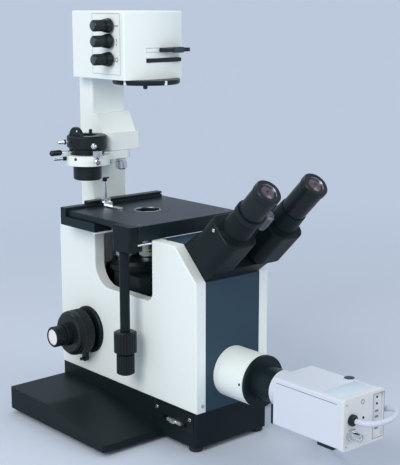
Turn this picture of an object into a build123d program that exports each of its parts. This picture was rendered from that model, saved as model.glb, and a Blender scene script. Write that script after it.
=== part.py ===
from build123d import *
import math
import os

# Inverted microscope with a binocular head, a swing-out condenser and a video camera on its photo port.
# Units are millimetres. +Z is up, the operator sits on the -Y side, and the origin is on the bench
# under the middle of the whole outline.

os.makedirs("parts", exist_ok=True)

# General sizes
overrun = 5.0
seat_gap = 0.3
running_gap = 0.05
edge_round = 1.5

# Main frame of the stand
axis_y = 126.7
front_reach = 153.0
back_reach = 107.6
body_half = 55.0
panel_thickness = 14.0
panel_top = 233.8
panel_front_top = 196.4
foot_height = 6.0
foot_radius = 8.0
foot_inset = 12.0
base_top = 46.8
base_wall = 5.0
base_cavity_top = 26.0
wing_reach = 140.0
wing_front_reach = 94.0
wing_back_reach = 100.0
wing_top = 32.5
wing_front_top = 14.0
wing_slope_run = 111.0
wing_round = 4.0
wing_crease_radius = 60.0
sheet = 3.0

# Openings in the side panels
opening_front = 76.0
opening_back = 34.0
opening_bottom = 161.0
opening_front_round = 12.0
opening_back_round = 28.0

# Focus drive
focus_y_offset = 48.0
focus_z = 101.7
gear_module = 1.0
pinion_teeth = 16
pinion_width = 14.0
coarse_shaft_radius = 6.0
fine_shaft_radius = 3.0
flange_radius = 29.1
flange_thickness = 4.0
drum_radius = 27.0
drum_inset = 11.0
drum_width = 22.0
drum_ribs = 36
drum_rib_depth = 0.9
drum_neck_radius = 14.0
drum_neck_length = 8.0
fine_knob_radius = 12.5
fine_knob_length = 14.0
fine_dish_radius = 10.0
fine_dish_depth = 1.5
tension_ring_width = 5.0
tension_hub_radius = 9.0
tension_hook_radius = 4.0
tension_hook_drop = 36.0
slide_half = 15.0
slide_depth = 10.0
slide_bottom = 76.0
guide_cheek = 9.0
guide_depth = 14.0
guide_top = 140.0
guide_nose = 10.0

# Nosepiece and objectives
carrier_half = 35.0
carrier_front = 37.0
carrier_back = 22.0
carrier_bottom = 158.0
carrier_height = 19.0
turret_offset = 20.0
turret_radius = 34.0
turret_height = 12.0
objective_count = 4
objective_radius = 10.5
objective_lengths = (30.0, 40.0, 45.0, 47.0)
objective_nose_radius = 4.5
light_hole_radius = 7.5

# Stage
stage_half = 76.6
stage_front = 78.2
stage_back = 68.3
stage_top = 252.0
stage_thickness = 7.0
stage_corner = 5.0
rail_depth = 18.0
rail_bottom = 234.6
rear_rail_half = 40.0
rear_rail_depth = 12.0
stage_hole_radius = 27.0
insert_step = 2.0
insert_depth = 3.0
insert_window_radius = 15.0

# Stage cross drive
carriage_inner = 56.0
carriage_front = 0.8
lug_thickness = 3.0
bar_front = 58.0
bar_depth = 10.0
bar_thin = 2.8
bar_thick = 6.6
bar_step_x = -45.0
bar_right = 70.0
holder_x = -25.5
holder_rod_radius = 2.5
holder_rod_length = 28.2
holder_foot = 13.0
holder_foot_height = 5.5
finger_length = 26.0
finger_width = 8.0
column_x = -80.0
column_offset = 57.5
column_radius = 5.8
column_bottom = 128.2
bracket_bottom = 223.0
bracket_width = 15.0
bracket_front = 78.0
bracket_back = 45.0
drive_pin_radius = 2.5
upper_knob_radius = 13.2
upper_knob_bottom = 101.4
lower_knob_radius = 10.5
lower_knob_bottom = 76.0
stage_knob_ribs = 24

# Pillar and lamp housing
pillar_half = 25.3
pillar_front = 74.7
pillar_back = 102.2
pillar_wall = 3.0
pillar_round = 3.0
spine_drop = 7.6
housing_half = 44.0
housing_front = 21.6
housing_bulge = 7.0
housing_back = 88.2
housing_bottom = 409.3
housing_height = 78.3
housing_wall = 3.0
housing_round = 3.0
housing_hole_radius = 17.0
lower_slot_left = -16.0
lower_slot_right = 37.0
upper_slot_left = -16.0
upper_slot_right = 40.6
slot_pitch = 11.8
slot_lens_gap = 1.4
slide_tray_height = 5.0
tray_back = 24.0
filter_radius = 13.0
grip_left = 3.0
grip_length = 12.0
lamp_radius = 7.0
lamp_length = 12.0
socket_radius = 12.0
socket_length = 14.0
lens_radius = 13.0
lens_thickness = 6.0
lens_ring = 3.0
lens_lamp_gap = 3.8
diaphragm_radius = 40.0
diaphragm_height = 5.7
diaphragm_bore_radius = 16.0
diaphragm_lever = 3.5
diaphragm_notch = 5.0
diaphragm_lever_angle = -130.0
diaphragm_notch_angles = (-93.0, -167.0)

# Knobs on the lamp housing
lamp_knob_offset = 9.5
lamp_knob_shares = (0.7931, 0.567, 0.3027)
lamp_knob_reach = 26.0
lamp_knob_cap_radius = 6.6
lamp_knob_neck_radius = 4.0
lamp_knob_neck = 3.0
lamp_knob_ribs = 18

# Condenser
bracket_half = 26.0
condenser_bracket_front = 41.5
condenser_bracket_height = 20.0
condenser_bracket_round = 7.0
wedge_top = 364.5
wedge_top_y = 66.0
wedge_bottom_y = 53.0
pivot_offset = 51.0
pivot_radius = 5.0
arm_bottom = 311.0
arm_thickness = 9.7
arm_half = 11.0
condenser_ring_radius = 27.0
condenser_ring_height = 12.0
ring_below_arm = 4.0
barrel_radius = 17.0
barrel_reach = 18.5
condenser_neck_radius = 20.0
condenser_neck_length = 8.0
condenser_body_height = 15.0
condenser_body_radius = 24.2
condenser_bore_radius = 12.0
phase_wheel_radius = 12.0
phase_wheel_width = 5.0
phase_wheel_offset = 16.0
phase_wheel_side = 1.0
phase_wheel_sink = 1.5
phase_axle_radius = 1.5
aperture_rod_radius = 1.6
aperture_rod_length = 17.0
aperture_grip_radius = 3.4
aperture_grip_length = 15.0
control_angle = -110.0
ring_screw_angle = -104.0
clamp_knob_radius = 7.0
clamp_knob_height = 10.7
clamp_collar_height = 4.0
clamp_knob_ribs = 16
screw_knob_radius = 3.6
screw_knob_length = 9.0
control_stem = 4.0
control_height_share = 0.3

# Binocular head, along an axis that leans 45 degrees towards the operator
head_half = 41.0
head_base_low = -15.0
head_base_high = 37.0
head_base_length = 24.0
head_base_taper = 7.0
prism_half = 22.5
prism_offset = 35.0
prism_start = 26.0
prism_length = 48.0
prism_low = -21.0
prism_high = 24.0
prism_corner = 12.0
collar_radius = 20.0
collar_height = 3.0
tube_start = 74.0
tube_root_radius = 17.0
tube_end_radius = 15.5
eyepiece_start = 99.0
eyepiece_end = 144.0
eyepiece_radius = 14.5
eyepiece_rim_radius = 15.2
eyepiece_plug_radius = 11.6
eyepiece_plug_length = 18.0
eye_lens_radius = 9.0
eye_cup_depth = 3.0
dioptre_radius = 16.6
dioptre_length = 7.0
head_slot_half = 4.0
slide_rail = 2.0
dial_radius = 6.5
dial_start = 76.0
dial_end = 97.0
dial_pin_radius = 2.5

# Photo port and video camera
port_z = 86.7
port_radius = 29.3
port_length = 47.0
port_bore_radius = 15.0
port_flange = 4.0
port_groove = 7.0
port_tube_radius = 19.5
port_tube_end = 232.0
mount_ring_radius = 20.3
mount_ring_end = 247.0
camera_front = 249.0
camera_back = 349.0
camera_half = 30.0
camera_bottom = 57.5
camera_top = 110.5
camera_round = 2.0
camera_back_depth = 6.0
camera_plug_radius = 6.0
camera_plug_x = 25.0
camera_plug_reach = 306.0
door_left = 14.0
door_right = 30.0
door_height = 47.0
recess_depth = 2.5
socket_x = -20.0
socket_z = 73.5
socket_tube_radius = 4.6
socket_reach = 14.0
gland_x = -19.0
gland_z = 89.0
gland_radius = 6.0
gland_neck_radius = 4.0
gland_flange = 3.0
gland_length = 6.0

# Light path and electrical fittings
path_mirror_z = 80.6
path_mirror_size = 34.0
path_mirror_half = 17.0
mirror_thickness = 3.0
slider_length = 24.0
slider_z = 29.0
slider_height = 4.0
slider_reach = 5.0
slider_front = 128.0
slider_travel = 8.0
inlet_width = 28.0
inlet_height = 20.0
inlet_depth = 14.0
inlet_wall = 3.0
inlet_flange = 2.0
inlet_blade_shares = (-0.25, 0, 0.25)
fitting_gap = 6.0
switch_width = 14.0
switch_depth = 7.0
switch_frame = 2.0
switch_pin_radius = 1.2

# Camera cable
cable_radius = 3.0
coil_radius = 39.0
coil_turns_across = 3
coil_layers = 2
coil_x = 132.0
coil_reach = 168.0
plug_offset_x = 29.1
plug_offset_y = -10.6
plug_turn = -20.0
plug_body_length = 22.0
plug_body_width = 16.0
plug_height = 12.0
plug_tail = 9.0
blade_length = 17.0
blade_width = 6.3
blade_thickness = 1.5
blade_half_spacing = 6.35

# Places worked out from the sizes above
front_y = axis_y - front_reach
back_y = axis_y + back_reach
wing_front = axis_y - wing_front_reach
wing_back = axis_y + wing_back_reach
slope_run = panel_top - panel_front_top
inner_half = body_half - panel_thickness
inlet_outer = inlet_width + 2 * inlet_wall
switch_outer = switch_width + 2 * switch_frame
fitting_row = inlet_outer + fitting_gap + switch_outer
inlet_x = (inlet_outer - fitting_row) / 2
switch_x = (fitting_row - switch_outer) / 2
inlet_z = base_top + inlet_height
focus_y = axis_y + focus_y_offset
pinion_radius = gear_module * pinion_teeth / 2
slide_front = focus_y + pinion_radius + 1.25 * gear_module
slide_back = slide_front + slide_depth - 1.25 * gear_module
turret_y = axis_y + turret_offset
carrier_top = carrier_bottom + carrier_height
turret_bottom = carrier_top + seat_gap
turret_top = turret_bottom + turret_height
stage_bottom = stage_top - stage_thickness
housing_face = axis_y - housing_front
housing_top = housing_bottom + housing_height
spine_top = housing_top - spine_drop
lamp_end = housing_top - housing_wall - socket_length - lamp_length
lens_bottom = lamp_end - lens_lamp_gap - lens_thickness * 1.3
upper_slot_z = lens_bottom - slot_lens_gap - slide_tray_height
lower_slot_z = upper_slot_z - slot_pitch
lamp_knob_heights = [housing_bottom + share * housing_height for share in lamp_knob_shares]
lamp_knob_radius = (lamp_knob_heights[0] - lamp_knob_heights[1]) / 2 - seat_gap
pivot_y = axis_y + pivot_offset
condenser_x = -pivot_offset
condenser_bracket_bottom = arm_bottom + arm_thickness + seat_gap
condenser_bracket_top = condenser_bracket_bottom + condenser_bracket_height
condenser_ring_bottom = arm_bottom - ring_below_arm
condenser_ring_top = condenser_ring_bottom + condenser_ring_height
barrel_bottom = condenser_ring_bottom - barrel_reach
condenser_body_bottom = condenser_ring_top + condenser_neck_length
condenser_body_top = condenser_body_bottom + condenser_body_height
aperture_z = condenser_ring_top + condenser_neck_length * 0.6
phase_wheel_x = condenser_x - phase_wheel_offset
phase_wheel_y = pivot_y - phase_wheel_side
phase_wheel_z = condenser_body_top - phase_wheel_sink
camera_half_height = (camera_top - camera_bottom) / 2
camera_z = camera_bottom + camera_half_height
camera_back_y = axis_y - camera_back


def finish(part, name):
    """Label a finished piece and write it."""
    part.part.label = name
    export_step(part.part, "parts/" + name + ".step")


def looking(x, y, z, direction):
    """A plane at a point whose normal points in a named direction."""
    normals = {"left": (-1, 0, 0), "right": (1, 0, 0), "front": (0, -1, 0), "back": (0, 1, 0),
               "up": (0, 0, 1), "down": (0, 0, -1)}
    across = (0, 1, 0) if direction in ("left", "right") else (1, 0, 0)
    return Plane(origin=(x, y, z), x_dir=across, z_dir=normals[direction])


def around(x, y, angle, reach, z):
    """A plane at a reach from an upright axis, whose normal points outwards at an angle."""
    outwards = Vector(math.cos(math.radians(angle)), math.sin(math.radians(angle)), 0)
    return Plane(origin=Vector(x, y, z) + outwards * reach, x_dir=(0, 0, 1), z_dir=outwards)


def rod(plane, radius, height, mode=Mode.ADD):
    """A round bar that starts at the plane."""
    with BuildSketch(plane) as outline:
        Circle(radius)
    extrude(outline.sketch, amount=height, mode=mode)


def slab(plane, width, depth, height, corner=0, mode=Mode.ADD):
    """A rectangular bar that starts at the plane, with rounded corners where a radius is given."""
    with BuildSketch(plane) as outline:
        if corner:
            RectangleRounded(width, depth, corner)
        else:
            Rectangle(width, depth)
    extrude(outline.sketch, amount=height, mode=mode)


def box_between(low, high, mode=Mode.ADD):
    """A block given by its two opposite corners."""
    centre = ((low[0] + high[0]) / 2, (low[1] + high[1]) / 2, low[2])
    slab(Plane.XY.move(Location(centre)), high[0] - low[0], high[1] - low[1], high[2] - low[2], mode=mode)


def turned(place, points, mode=Mode.ADD):
    """A lathe-turned shape from (radius, height) points about the normal of a place."""
    half_plane = Plane(origin=place.origin, x_dir=place.x_dir, z_dir=-place.y_dir)
    with BuildSketch(half_plane) as outline:
        with BuildLine():
            Polyline(*points, close=True)
        make_face()
    revolve(outline.sketch, axis=Axis(place.origin, place.z_dir), mode=mode)


def ribbed(place, radius, height, count, depth, mode=Mode.ADD):
    """A round grip with an even ring of grooves."""
    with BuildSketch(place) as outline:
        Circle(radius)
        with PolarLocations(radius, count):
            Circle(depth, mode=Mode.SUBTRACT)
    extrude(outline.sketch, amount=height, mode=mode)


def side_profile(points, from_x, to_x, mode=Mode.ADD):
    """A prism across X from (y, z) points."""
    with BuildSketch(Plane.YZ.offset(from_x)) as outline:
        with BuildLine():
            Polyline(*points, close=True)
        make_face()
    extrude(outline.sketch, amount=to_x - from_x, mode=mode)


# Base casting: a tall plinth with a sloping wing on each side, hollow underneath
with BuildPart() as base_casting:
    plinth_middle = (front_y + back_y) / 2
    plinth_length = back_y - front_y
    slab(Plane.XY.move(Location((0, plinth_middle, foot_height))), 2 * body_half, plinth_length,
         base_top - foot_height, corner=wing_round)
    wing_slope_end = wing_front + wing_slope_run
    side_profile([(wing_front, foot_height), (wing_front, wing_front_top), (wing_slope_end, wing_top),
                  (wing_back, wing_top), (wing_back, foot_height)], -wing_reach, wing_reach)
    corners = base_casting.edges().filter_by(Axis.Z).group_by(Axis.X)
    fillet(corners[0] + corners[-1], wing_round)
    for side in (-1, 1):
        crease = base_casting.edges().sort_by_distance((side * (wing_reach + body_half) / 2, wing_slope_end,
                                                        wing_top))[0]
        fillet(crease, wing_crease_radius)
    for side in (-1, 1):
        pocket_width = wing_reach - body_half - 2 * base_wall
        pocket_x = side * (body_half + base_wall + pocket_width / 2)
        side_profile([(wing_front + base_wall, foot_height - overrun),
                      (wing_front + base_wall, wing_front_top - base_wall),
                      (wing_slope_end, wing_top - base_wall), (wing_back - base_wall, wing_top - base_wall),
                      (wing_back - base_wall, foot_height - overrun)],
                     pocket_x - pocket_width / 2, pocket_x + pocket_width / 2, mode=Mode.SUBTRACT)
    plinth_pocket = plinth_length - 4 * foot_radius - 2 * base_wall
    slab(Plane.XY.move(Location((0, plinth_middle, foot_height - overrun))), 2 * (body_half - base_wall),
         plinth_pocket, base_cavity_top - foot_height + overrun, corner=wing_round, mode=Mode.SUBTRACT)
    wing_foot_x = wing_reach - foot_radius - foot_inset
    front_foot_y = wing_front + 2 * foot_inset
    back_foot_y = wing_back - foot_radius - edge_round
    for side in (-1, 1):
        rod(Plane.XY.move(Location((side * wing_foot_x, front_foot_y, foot_height))), foot_radius,
            wing_front_top + base_wall / 2 - foot_height)
        rod(Plane.XY.move(Location((side * wing_foot_x, back_foot_y, foot_height))), foot_radius,
            wing_top - base_wall / 2 - foot_height)
    slot_middle = axis_y - slider_front + slider_length / 2
    slider_room = slider_length + 2 * slider_travel
    slab(looking(-body_half - overrun, slot_middle, slider_z, "right"), slider_room, slider_height,
         base_wall + 2 * overrun, mode=Mode.SUBTRACT)
finish(base_casting, "base_casting")

# Rubber feet under the plinth front and the outer corners of the wings
with BuildPart() as feet:
    foot_places = [(side * (body_half - foot_radius), front_y + foot_radius + edge_round) for side in (-1, 1)]
    foot_places += [(side * wing_foot_x, y) for side in (-1, 1)
                    for y in (back_foot_y, front_foot_y)]
    for place in foot_places:
        turned(Plane.XY.move(Location((place[0], place[1], 0))),
               [(0, 0), (foot_radius - edge_round, 0), (foot_radius, edge_round), (foot_radius, foot_height),
                (0, foot_height)])
finish(feet, "feet")

# White side panels with a U-shaped opening for reaching the nosepiece
slot_x = {"left": -body_half, "right": inner_half}
for side_name in ("left", "right"):
    with BuildPart() as panel:
        with BuildSketch(Plane.YZ.offset(slot_x[side_name])) as outline:
            with BuildLine():
                Polyline((front_y, base_top), (front_y, panel_front_top), (front_y + slope_run, panel_top),
                         (back_y, panel_top), (back_y, base_top), close=True)
            make_face()
            with BuildSketch(mode=Mode.PRIVATE) as opening:
                with BuildLine():
                    Polyline((axis_y - opening_front, panel_top + overrun),
                             (axis_y - opening_front, opening_bottom),
                             (axis_y + opening_back, opening_bottom),
                             (axis_y + opening_back, panel_top + overrun),
                             close=True)
                make_face()
                low_corners = opening.vertices().group_by(Axis.Y)[0].sort_by(Axis.X)
                fillet(low_corners[0], opening_front_round)
                fillet(opening.vertices().group_by(Axis.Y)[0].sort_by(Axis.X)[-1], opening_back_round)
            add(opening.sketch, mode=Mode.SUBTRACT)
            with Locations((focus_y, focus_z)):
                Circle(coarse_shaft_radius + 2 * seat_gap, mode=Mode.SUBTRACT)
        extrude(amount=panel_thickness)
        outer_faces = panel.faces().filter_by(Axis.X).sort_by(Axis.X)
        outer_face = outer_faces[0] if side_name == "left" else outer_faces[-1]
        fillet(outer_face.outer_wire().edges(), edge_round)
    finish(panel, side_name + "_panel")

# Bent front cover: front wall, sloping seat of the head and a short top
with BuildPart() as front_cover:
    slope_end = front_y + slope_run
    top_end = axis_y - opening_front - edge_round
    side_profile([(front_y, base_top), (front_y, panel_front_top), (slope_end, panel_top),
                  (top_end, panel_top),
                  (top_end, panel_top - sheet), (slope_end + sheet / 2, panel_top - sheet),
                  (front_y + sheet, panel_front_top - sheet / 2), (front_y + sheet, base_top)],
                 seat_gap - inner_half, inner_half - seat_gap)
    rod(looking(0, front_y - overrun, port_z, "back"), port_bore_radius, sheet + 2 * overrun,
        mode=Mode.SUBTRACT)
    head_seat = Plane(origin=(0, front_y + slope_run / 2, panel_front_top + slope_run / 2), x_dir=(1, 0, 0),
                      z_dir=(0, -1, 1))
    rod(head_seat.offset(-2 * overrun), light_hole_radius * 1.6, 4 * overrun, mode=Mode.SUBTRACT)
finish(front_cover, "front_cover")

# Bent rear cover: back wall and the deck behind the nosepiece
with BuildPart() as rear_cover:
    deck_front = axis_y + bar_front - seat_gap
    side_profile([(back_y, base_top), (back_y, panel_top), (deck_front, panel_top),
                  (deck_front, panel_top - sheet),
                  (back_y - sheet, panel_top - sheet), (back_y - sheet, base_top)],
                 seat_gap - inner_half, inner_half - seat_gap)
    slab(looking(inlet_x, back_y + overrun, inlet_z, "front"), inlet_width, inlet_height, sheet + 2 * overrun,
         mode=Mode.SUBTRACT)
    slab(looking(switch_x, back_y + overrun, inlet_z, "front"), switch_outer, inlet_height,
         sheet + 2 * overrun,
         mode=Mode.SUBTRACT)
finish(rear_cover, "rear_cover")

# Power fitting: one flange that carries the mains inlet and the frame of the rocker switch
with BuildPart() as mains_inlet:
    flange_height = inlet_height + 2 * inlet_wall
    slab(looking(0, back_y, inlet_z, "back"), fitting_row, flange_height, inlet_flange, corner=inlet_wall)
    inlet_back = looking(inlet_x, back_y - inlet_depth - inlet_wall, inlet_z, "back")
    slab(inlet_back, inlet_width - 2 * seat_gap, inlet_height - 2 * seat_gap, inlet_depth + inlet_wall)
    slab(inlet_back.offset(inlet_wall), inlet_width - 2 * inlet_wall, inlet_height - 2 * inlet_wall,
         inlet_depth + 2 * overrun, mode=Mode.SUBTRACT)
    blade_root = inlet_back.offset(inlet_wall)
    for blade_share in inlet_blade_shares:
        blade_x = inlet_x + blade_share * inlet_width
        slab(looking(blade_x, blade_root.origin.Y, inlet_z - inlet_wall / 2, "back"), inlet_wall / 2,
             inlet_wall,
             inlet_depth - inlet_wall)
    switch_back = looking(switch_x, back_y - switch_depth, inlet_z, "back")
    slab(switch_back, switch_outer - 2 * seat_gap, inlet_height - 2 * seat_gap, switch_depth)
    slab(switch_back.offset(-overrun), switch_width, inlet_height - 2 * switch_frame,
         switch_depth + 3 * overrun,
         mode=Mode.SUBTRACT)
    switch_pin_y = back_y - sheet
    rod(looking(switch_x - switch_outer / 2 - edge_round, switch_pin_y, inlet_z, "right"),
        switch_pin_radius + running_gap, switch_outer + 2 * edge_round, mode=Mode.SUBTRACT)
finish(mains_inlet, "mains_inlet")

# Rocker power switch that tilts on a pin in its frame
with BuildPart() as power_switch:
    rocker_half = inlet_height / 2 - switch_frame - 4 * seat_gap
    rocker_side = switch_width / 2 - seat_gap
    side_profile([(back_y - sheet, inlet_z - rocker_half), (back_y + switch_frame, inlet_z - rocker_half),
                  (back_y + switch_frame / 2, inlet_z), (back_y + switch_frame, inlet_z + rocker_half),
                  (back_y - sheet, inlet_z + rocker_half), (back_y - switch_depth, inlet_z)],
                 switch_x - rocker_side, switch_x + rocker_side)
    pin_reach = switch_width / 2 + switch_frame / 2
    rod(looking(switch_x - pin_reach, switch_pin_y, inlet_z, "right"), switch_pin_radius, 2 * pin_reach)
finish(power_switch, "power_switch")

# Light path slider in the plinth's left side
with BuildPart() as path_slider:
    slider_middle = looking(-body_half + base_wall, slot_middle, slider_z, "left")
    slab(slider_middle, slider_length, slider_height - 2 * seat_gap, base_wall + slider_reach / 2)
    slab(slider_middle.offset(base_wall + slider_reach / 2), slider_length / 3, slider_height * 0.8,
         slider_reach / 2,
         corner=edge_round)
finish(path_slider, "path_slider")

# Mirror below the objectives that turns the light up towards the head
with BuildPart() as path_mirror:
    half_turn = math.radians(22.5)
    mirror_plane = Plane(origin=(0, axis_y, path_mirror_z), x_dir=(1, 0, 0),
                         z_dir=(0, -math.sin(half_turn), math.cos(half_turn)))
    slab(mirror_plane.offset(-mirror_thickness), 2 * path_mirror_half, path_mirror_size, mirror_thickness)
    block_half = path_mirror_size / 2 * math.cos(half_turn) - edge_round
    rise = block_half * math.tan(half_turn)
    under = path_mirror_z - mirror_thickness
    side_profile([(axis_y - block_half, base_top), (axis_y - block_half, under - rise),
                  (axis_y + block_half, under + rise), (axis_y + block_half, base_top)],
                 -path_mirror_half, path_mirror_half)
finish(path_mirror, "path_mirror")

# Guide block of the focus slide, with the bearings of the focus shaft in its cheeks
with BuildPart() as focus_guide:
    guide_half = slide_half + seat_gap + guide_cheek
    guide_back = slide_back + seat_gap + guide_depth
    guide_front = focus_y - guide_nose
    box_between((-guide_half, guide_front, base_top), (guide_half, guide_back, guide_top))
    box_between((-slide_half - seat_gap, guide_front - overrun, base_top + base_wall),
                (slide_half + seat_gap, slide_back + seat_gap, guide_top + overrun), mode=Mode.SUBTRACT)
    rod(looking(-guide_half - overrun, focus_y, focus_z, "right"), coarse_shaft_radius + running_gap,
        2 * (guide_half + overrun), mode=Mode.SUBTRACT)
    cheek_tops = focus_guide.edges().filter_by(Axis.X).group_by(Axis.Z)[-1].sort_by(Axis.Y)
    chamfer(cheek_tops[:2], guide_nose / 2)
finish(focus_guide, "focus_guide")

# Coarse focus shaft, a tube with the pinion in its middle
with BuildPart() as coarse_shaft:
    shaft_end = body_half + drum_inset + drum_width
    rod(looking(-shaft_end, focus_y, focus_z, "right"), coarse_shaft_radius, 2 * shaft_end)
    pinion_plane = looking(-pinion_width / 2, focus_y, focus_z, "right")
    with BuildSketch(pinion_plane) as teeth:
        Circle(pinion_radius - 1.25 * gear_module)
        with PolarLocations(0, pinion_teeth):
            with BuildLine():
                root = pinion_radius - 2 * gear_module
                tip = pinion_radius + 0.9 * gear_module
                Polyline((root, -gear_module), (tip, -0.3 * gear_module), (tip, 0.3 * gear_module),
                         (root, gear_module), close=True)
            make_face()
    extrude(amount=pinion_width)
    rod(looking(-shaft_end - overrun, focus_y, focus_z, "right"), fine_shaft_radius + running_gap,
        2 * (shaft_end + overrun), mode=Mode.SUBTRACT)
finish(coarse_shaft, "coarse_shaft")

# Coarse focus knobs: drums with a stepped outer face
for side_name, side in (("left", -1), ("right", 1)):
    with BuildPart() as coarse_knob:
        knob_start = body_half + drum_inset
        knob_place = looking(side * knob_start, focus_y, focus_z, side_name)
        shoulder = drum_width - flange_thickness
        rod(knob_place, drum_radius, shoulder)
        turned(knob_place.offset(shoulder),
               [(0, 0), (drum_radius - drum_rib_depth, 0), (drum_radius - 2 * drum_rib_depth,
                                                            flange_thickness * 0.6),
                (drum_radius * 0.83, flange_thickness), (drum_neck_radius, flange_thickness),
                (drum_neck_radius, flange_thickness + drum_neck_length),
                (0, flange_thickness + drum_neck_length)])
        rod(knob_place, coarse_shaft_radius, drum_width, mode=Mode.SUBTRACT)
        rod(knob_place, fine_shaft_radius + seat_gap, drum_width + drum_neck_length + overrun,
            mode=Mode.SUBTRACT)
    finish(coarse_knob, side_name + "_coarse_knob")

# Fine focus shaft through the coarse one, with a dished knob at each end
with BuildPart() as fine_shaft:
    fine_start = body_half + drum_inset + drum_width + drum_neck_length + seat_gap
    rod(looking(-fine_start, focus_y, focus_z, "right"), fine_shaft_radius, 2 * fine_start)
    for side_name, side in (("left", -1), ("right", 1)):
        fine_place = looking(side * fine_start, focus_y, focus_z, side_name)
        ribbed(fine_place, fine_knob_radius, fine_knob_length - edge_round, drum_ribs, drum_rib_depth / 2)
        turned(fine_place.offset(fine_knob_length - edge_round),
               [(fine_dish_radius, 0), (fine_knob_radius - drum_rib_depth, 0),
                (fine_knob_radius - edge_round, fine_dish_depth), (fine_dish_radius, fine_dish_depth)])
finish(fine_shaft, "fine_shaft")

# Fixed flanges where the focus shaft leaves the panels; the left one has the hub of the tension ring
with BuildPart() as focus_flanges:
    for side_name, side in (("left", -1), ("right", 1)):
        flange_place = looking(side * body_half, focus_y, focus_z, side_name)
        turned(flange_place, [(coarse_shaft_radius + running_gap, 0), (flange_radius, 0),
                              (flange_radius, flange_thickness - edge_round),
                              (flange_radius - edge_round, flange_thickness),
                              (coarse_shaft_radius + running_gap, flange_thickness)])
    hub_end = flange_thickness + seat_gap + tension_ring_width
    turned(looking(-body_half, focus_y, focus_z, "left"),
           [(coarse_shaft_radius + running_gap, flange_thickness / 2),
            (tension_hub_radius, flange_thickness / 2), (tension_hub_radius, hub_end),
            (coarse_shaft_radius + running_gap, hub_end)])
finish(focus_flanges, "focus_flanges")

# Tension ring of the focus drive with its hooked lever
with BuildPart() as tension_lever:
    ring_start = body_half + flange_thickness + seat_gap
    ring_place = looking(-ring_start, focus_y, focus_z, "left")
    ring_outer = drum_neck_radius + tension_hook_radius
    rod(ring_place, ring_outer, tension_ring_width)
    hook_thickness = tension_ring_width
    with BuildSketch(ring_place) as hook:
        with BuildLine():
            Line((-tension_hook_radius, 0), (-tension_hook_radius, tension_hook_drop))
            ThreePointArc((-tension_hook_radius, tension_hook_drop),
                          (0, tension_hook_drop + tension_hook_radius),
                          (tension_hook_radius, tension_hook_drop))
            Line((tension_hook_radius, tension_hook_drop), (tension_hook_radius, 0))
            Line((tension_hook_radius, 0), (-tension_hook_radius, 0))
        make_face()
    extrude(hook.sketch, amount=hook_thickness)
    hook_end = ring_place.origin - Vector(0, 0, tension_hook_drop)
    rod(looking(hook_end.X, hook_end.Y, hook_end.Z, "left"), tension_hook_radius / 2, 2 * tension_ring_width)
    rod(ring_place.offset(-overrun), tension_hub_radius + running_gap, tension_ring_width + 2 * overrun,
        mode=Mode.SUBTRACT)
finish(tension_lever, "tension_lever")

# Nosepiece carrier: the block under the turret, its slide bar and the focus rack
with BuildPart() as nosepiece_carrier:
    box_between((-carrier_half, axis_y - carrier_front, carrier_bottom),
                (carrier_half, axis_y + carrier_back, carrier_top))
    front_edges = nosepiece_carrier.edges().filter_by(Axis.Z).group_by(Axis.Y)[0]
    chamfer(front_edges, carrier_front / 4)
    box_between((-slide_half, axis_y + carrier_back - edge_round, carrier_bottom),
                (slide_half, slide_back, carrier_top))
    rack_pitch = math.pi * gear_module
    rack_face = focus_y + pinion_radius - 0.9 * gear_module
    box_between((-slide_half, slide_front, slide_bottom), (slide_half, slide_back,
                                                           carrier_bottom + edge_round))
    rack_low = math.floor((slide_bottom - focus_z) / rack_pitch) + 1
    rack_high = math.floor((carrier_bottom - focus_z) / rack_pitch) - 4
    for step in range(rack_low, rack_high):
        tooth_z = focus_z + (step + 0.5) * rack_pitch
        tooth_root = slide_front + gear_module * 0.1
        side_profile([(tooth_root, tooth_z - 0.95 * gear_module), (rack_face, tooth_z - 0.25 * gear_module),
                      (rack_face, tooth_z + 0.25 * gear_module), (tooth_root, tooth_z + 0.95 * gear_module)],
                     -pinion_width / 2 - edge_round, pinion_width / 2 + edge_round)
    rod(Plane.XY.move(Location((0, axis_y, carrier_bottom - overrun))), light_hole_radius * 1.4,
        carrier_height + 2 * overrun, mode=Mode.SUBTRACT)
    rod(Plane.XY.move(Location((0, turret_y, carrier_top))), drive_pin_radius * 2, turret_height)
finish(nosepiece_carrier, "nosepiece_carrier")

# Turret with one light hole under each objective
with BuildPart() as turret:
    turret_place = Plane.XY.move(Location((0, turret_y, turret_bottom)))
    rod(turret_place, turret_radius, turret_height * 0.6)
    turned(turret_place.offset(turret_height * 0.6),
           [(0, 0), (turret_radius - drum_rib_depth, 0), (turret_radius - 2 * edge_round,
                                                          turret_height * 0.4),
            (0, turret_height * 0.4)])
    with BuildSketch(turret_place) as holes:
        with PolarLocations(turret_offset, objective_count, start_angle=-90):
            Circle(light_hole_radius)
    extrude(holes.sketch, amount=turret_height, mode=Mode.SUBTRACT)
    rod(turret_place, drive_pin_radius * 2 + running_gap, turret_height, mode=Mode.SUBTRACT)
finish(turret, "turret")

# Objectives of rising length standing on the turret
with BuildPart() as objectives:
    for index in range(objective_count):
        angle = math.radians(-90 + index * 360 / objective_count)
        length = objective_lengths[(2 + index) % objective_count]
        place = Plane.XY.move(Location((turret_offset * math.cos(angle),
                                        turret_y + turret_offset * math.sin(angle),
                                        turret_top)))
        turned(place, [(0, 0), (objective_radius * 0.9, 0), (objective_radius * 0.9, length * 0.1),
                       (objective_radius, length * 0.14), (objective_radius, length * 0.45),
                       (objective_radius * 0.95, length * 0.47), (objective_radius * 0.95, length * 0.7),
                       (objective_nose_radius * 1.5, length * 0.86), (objective_nose_radius, length),
                       (objective_nose_radius * 0.6, length),
                       (objective_nose_radius * 0.5, length - edge_round / 2),
                       (0, length - edge_round / 2)])
finish(objectives, "objectives")

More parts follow.
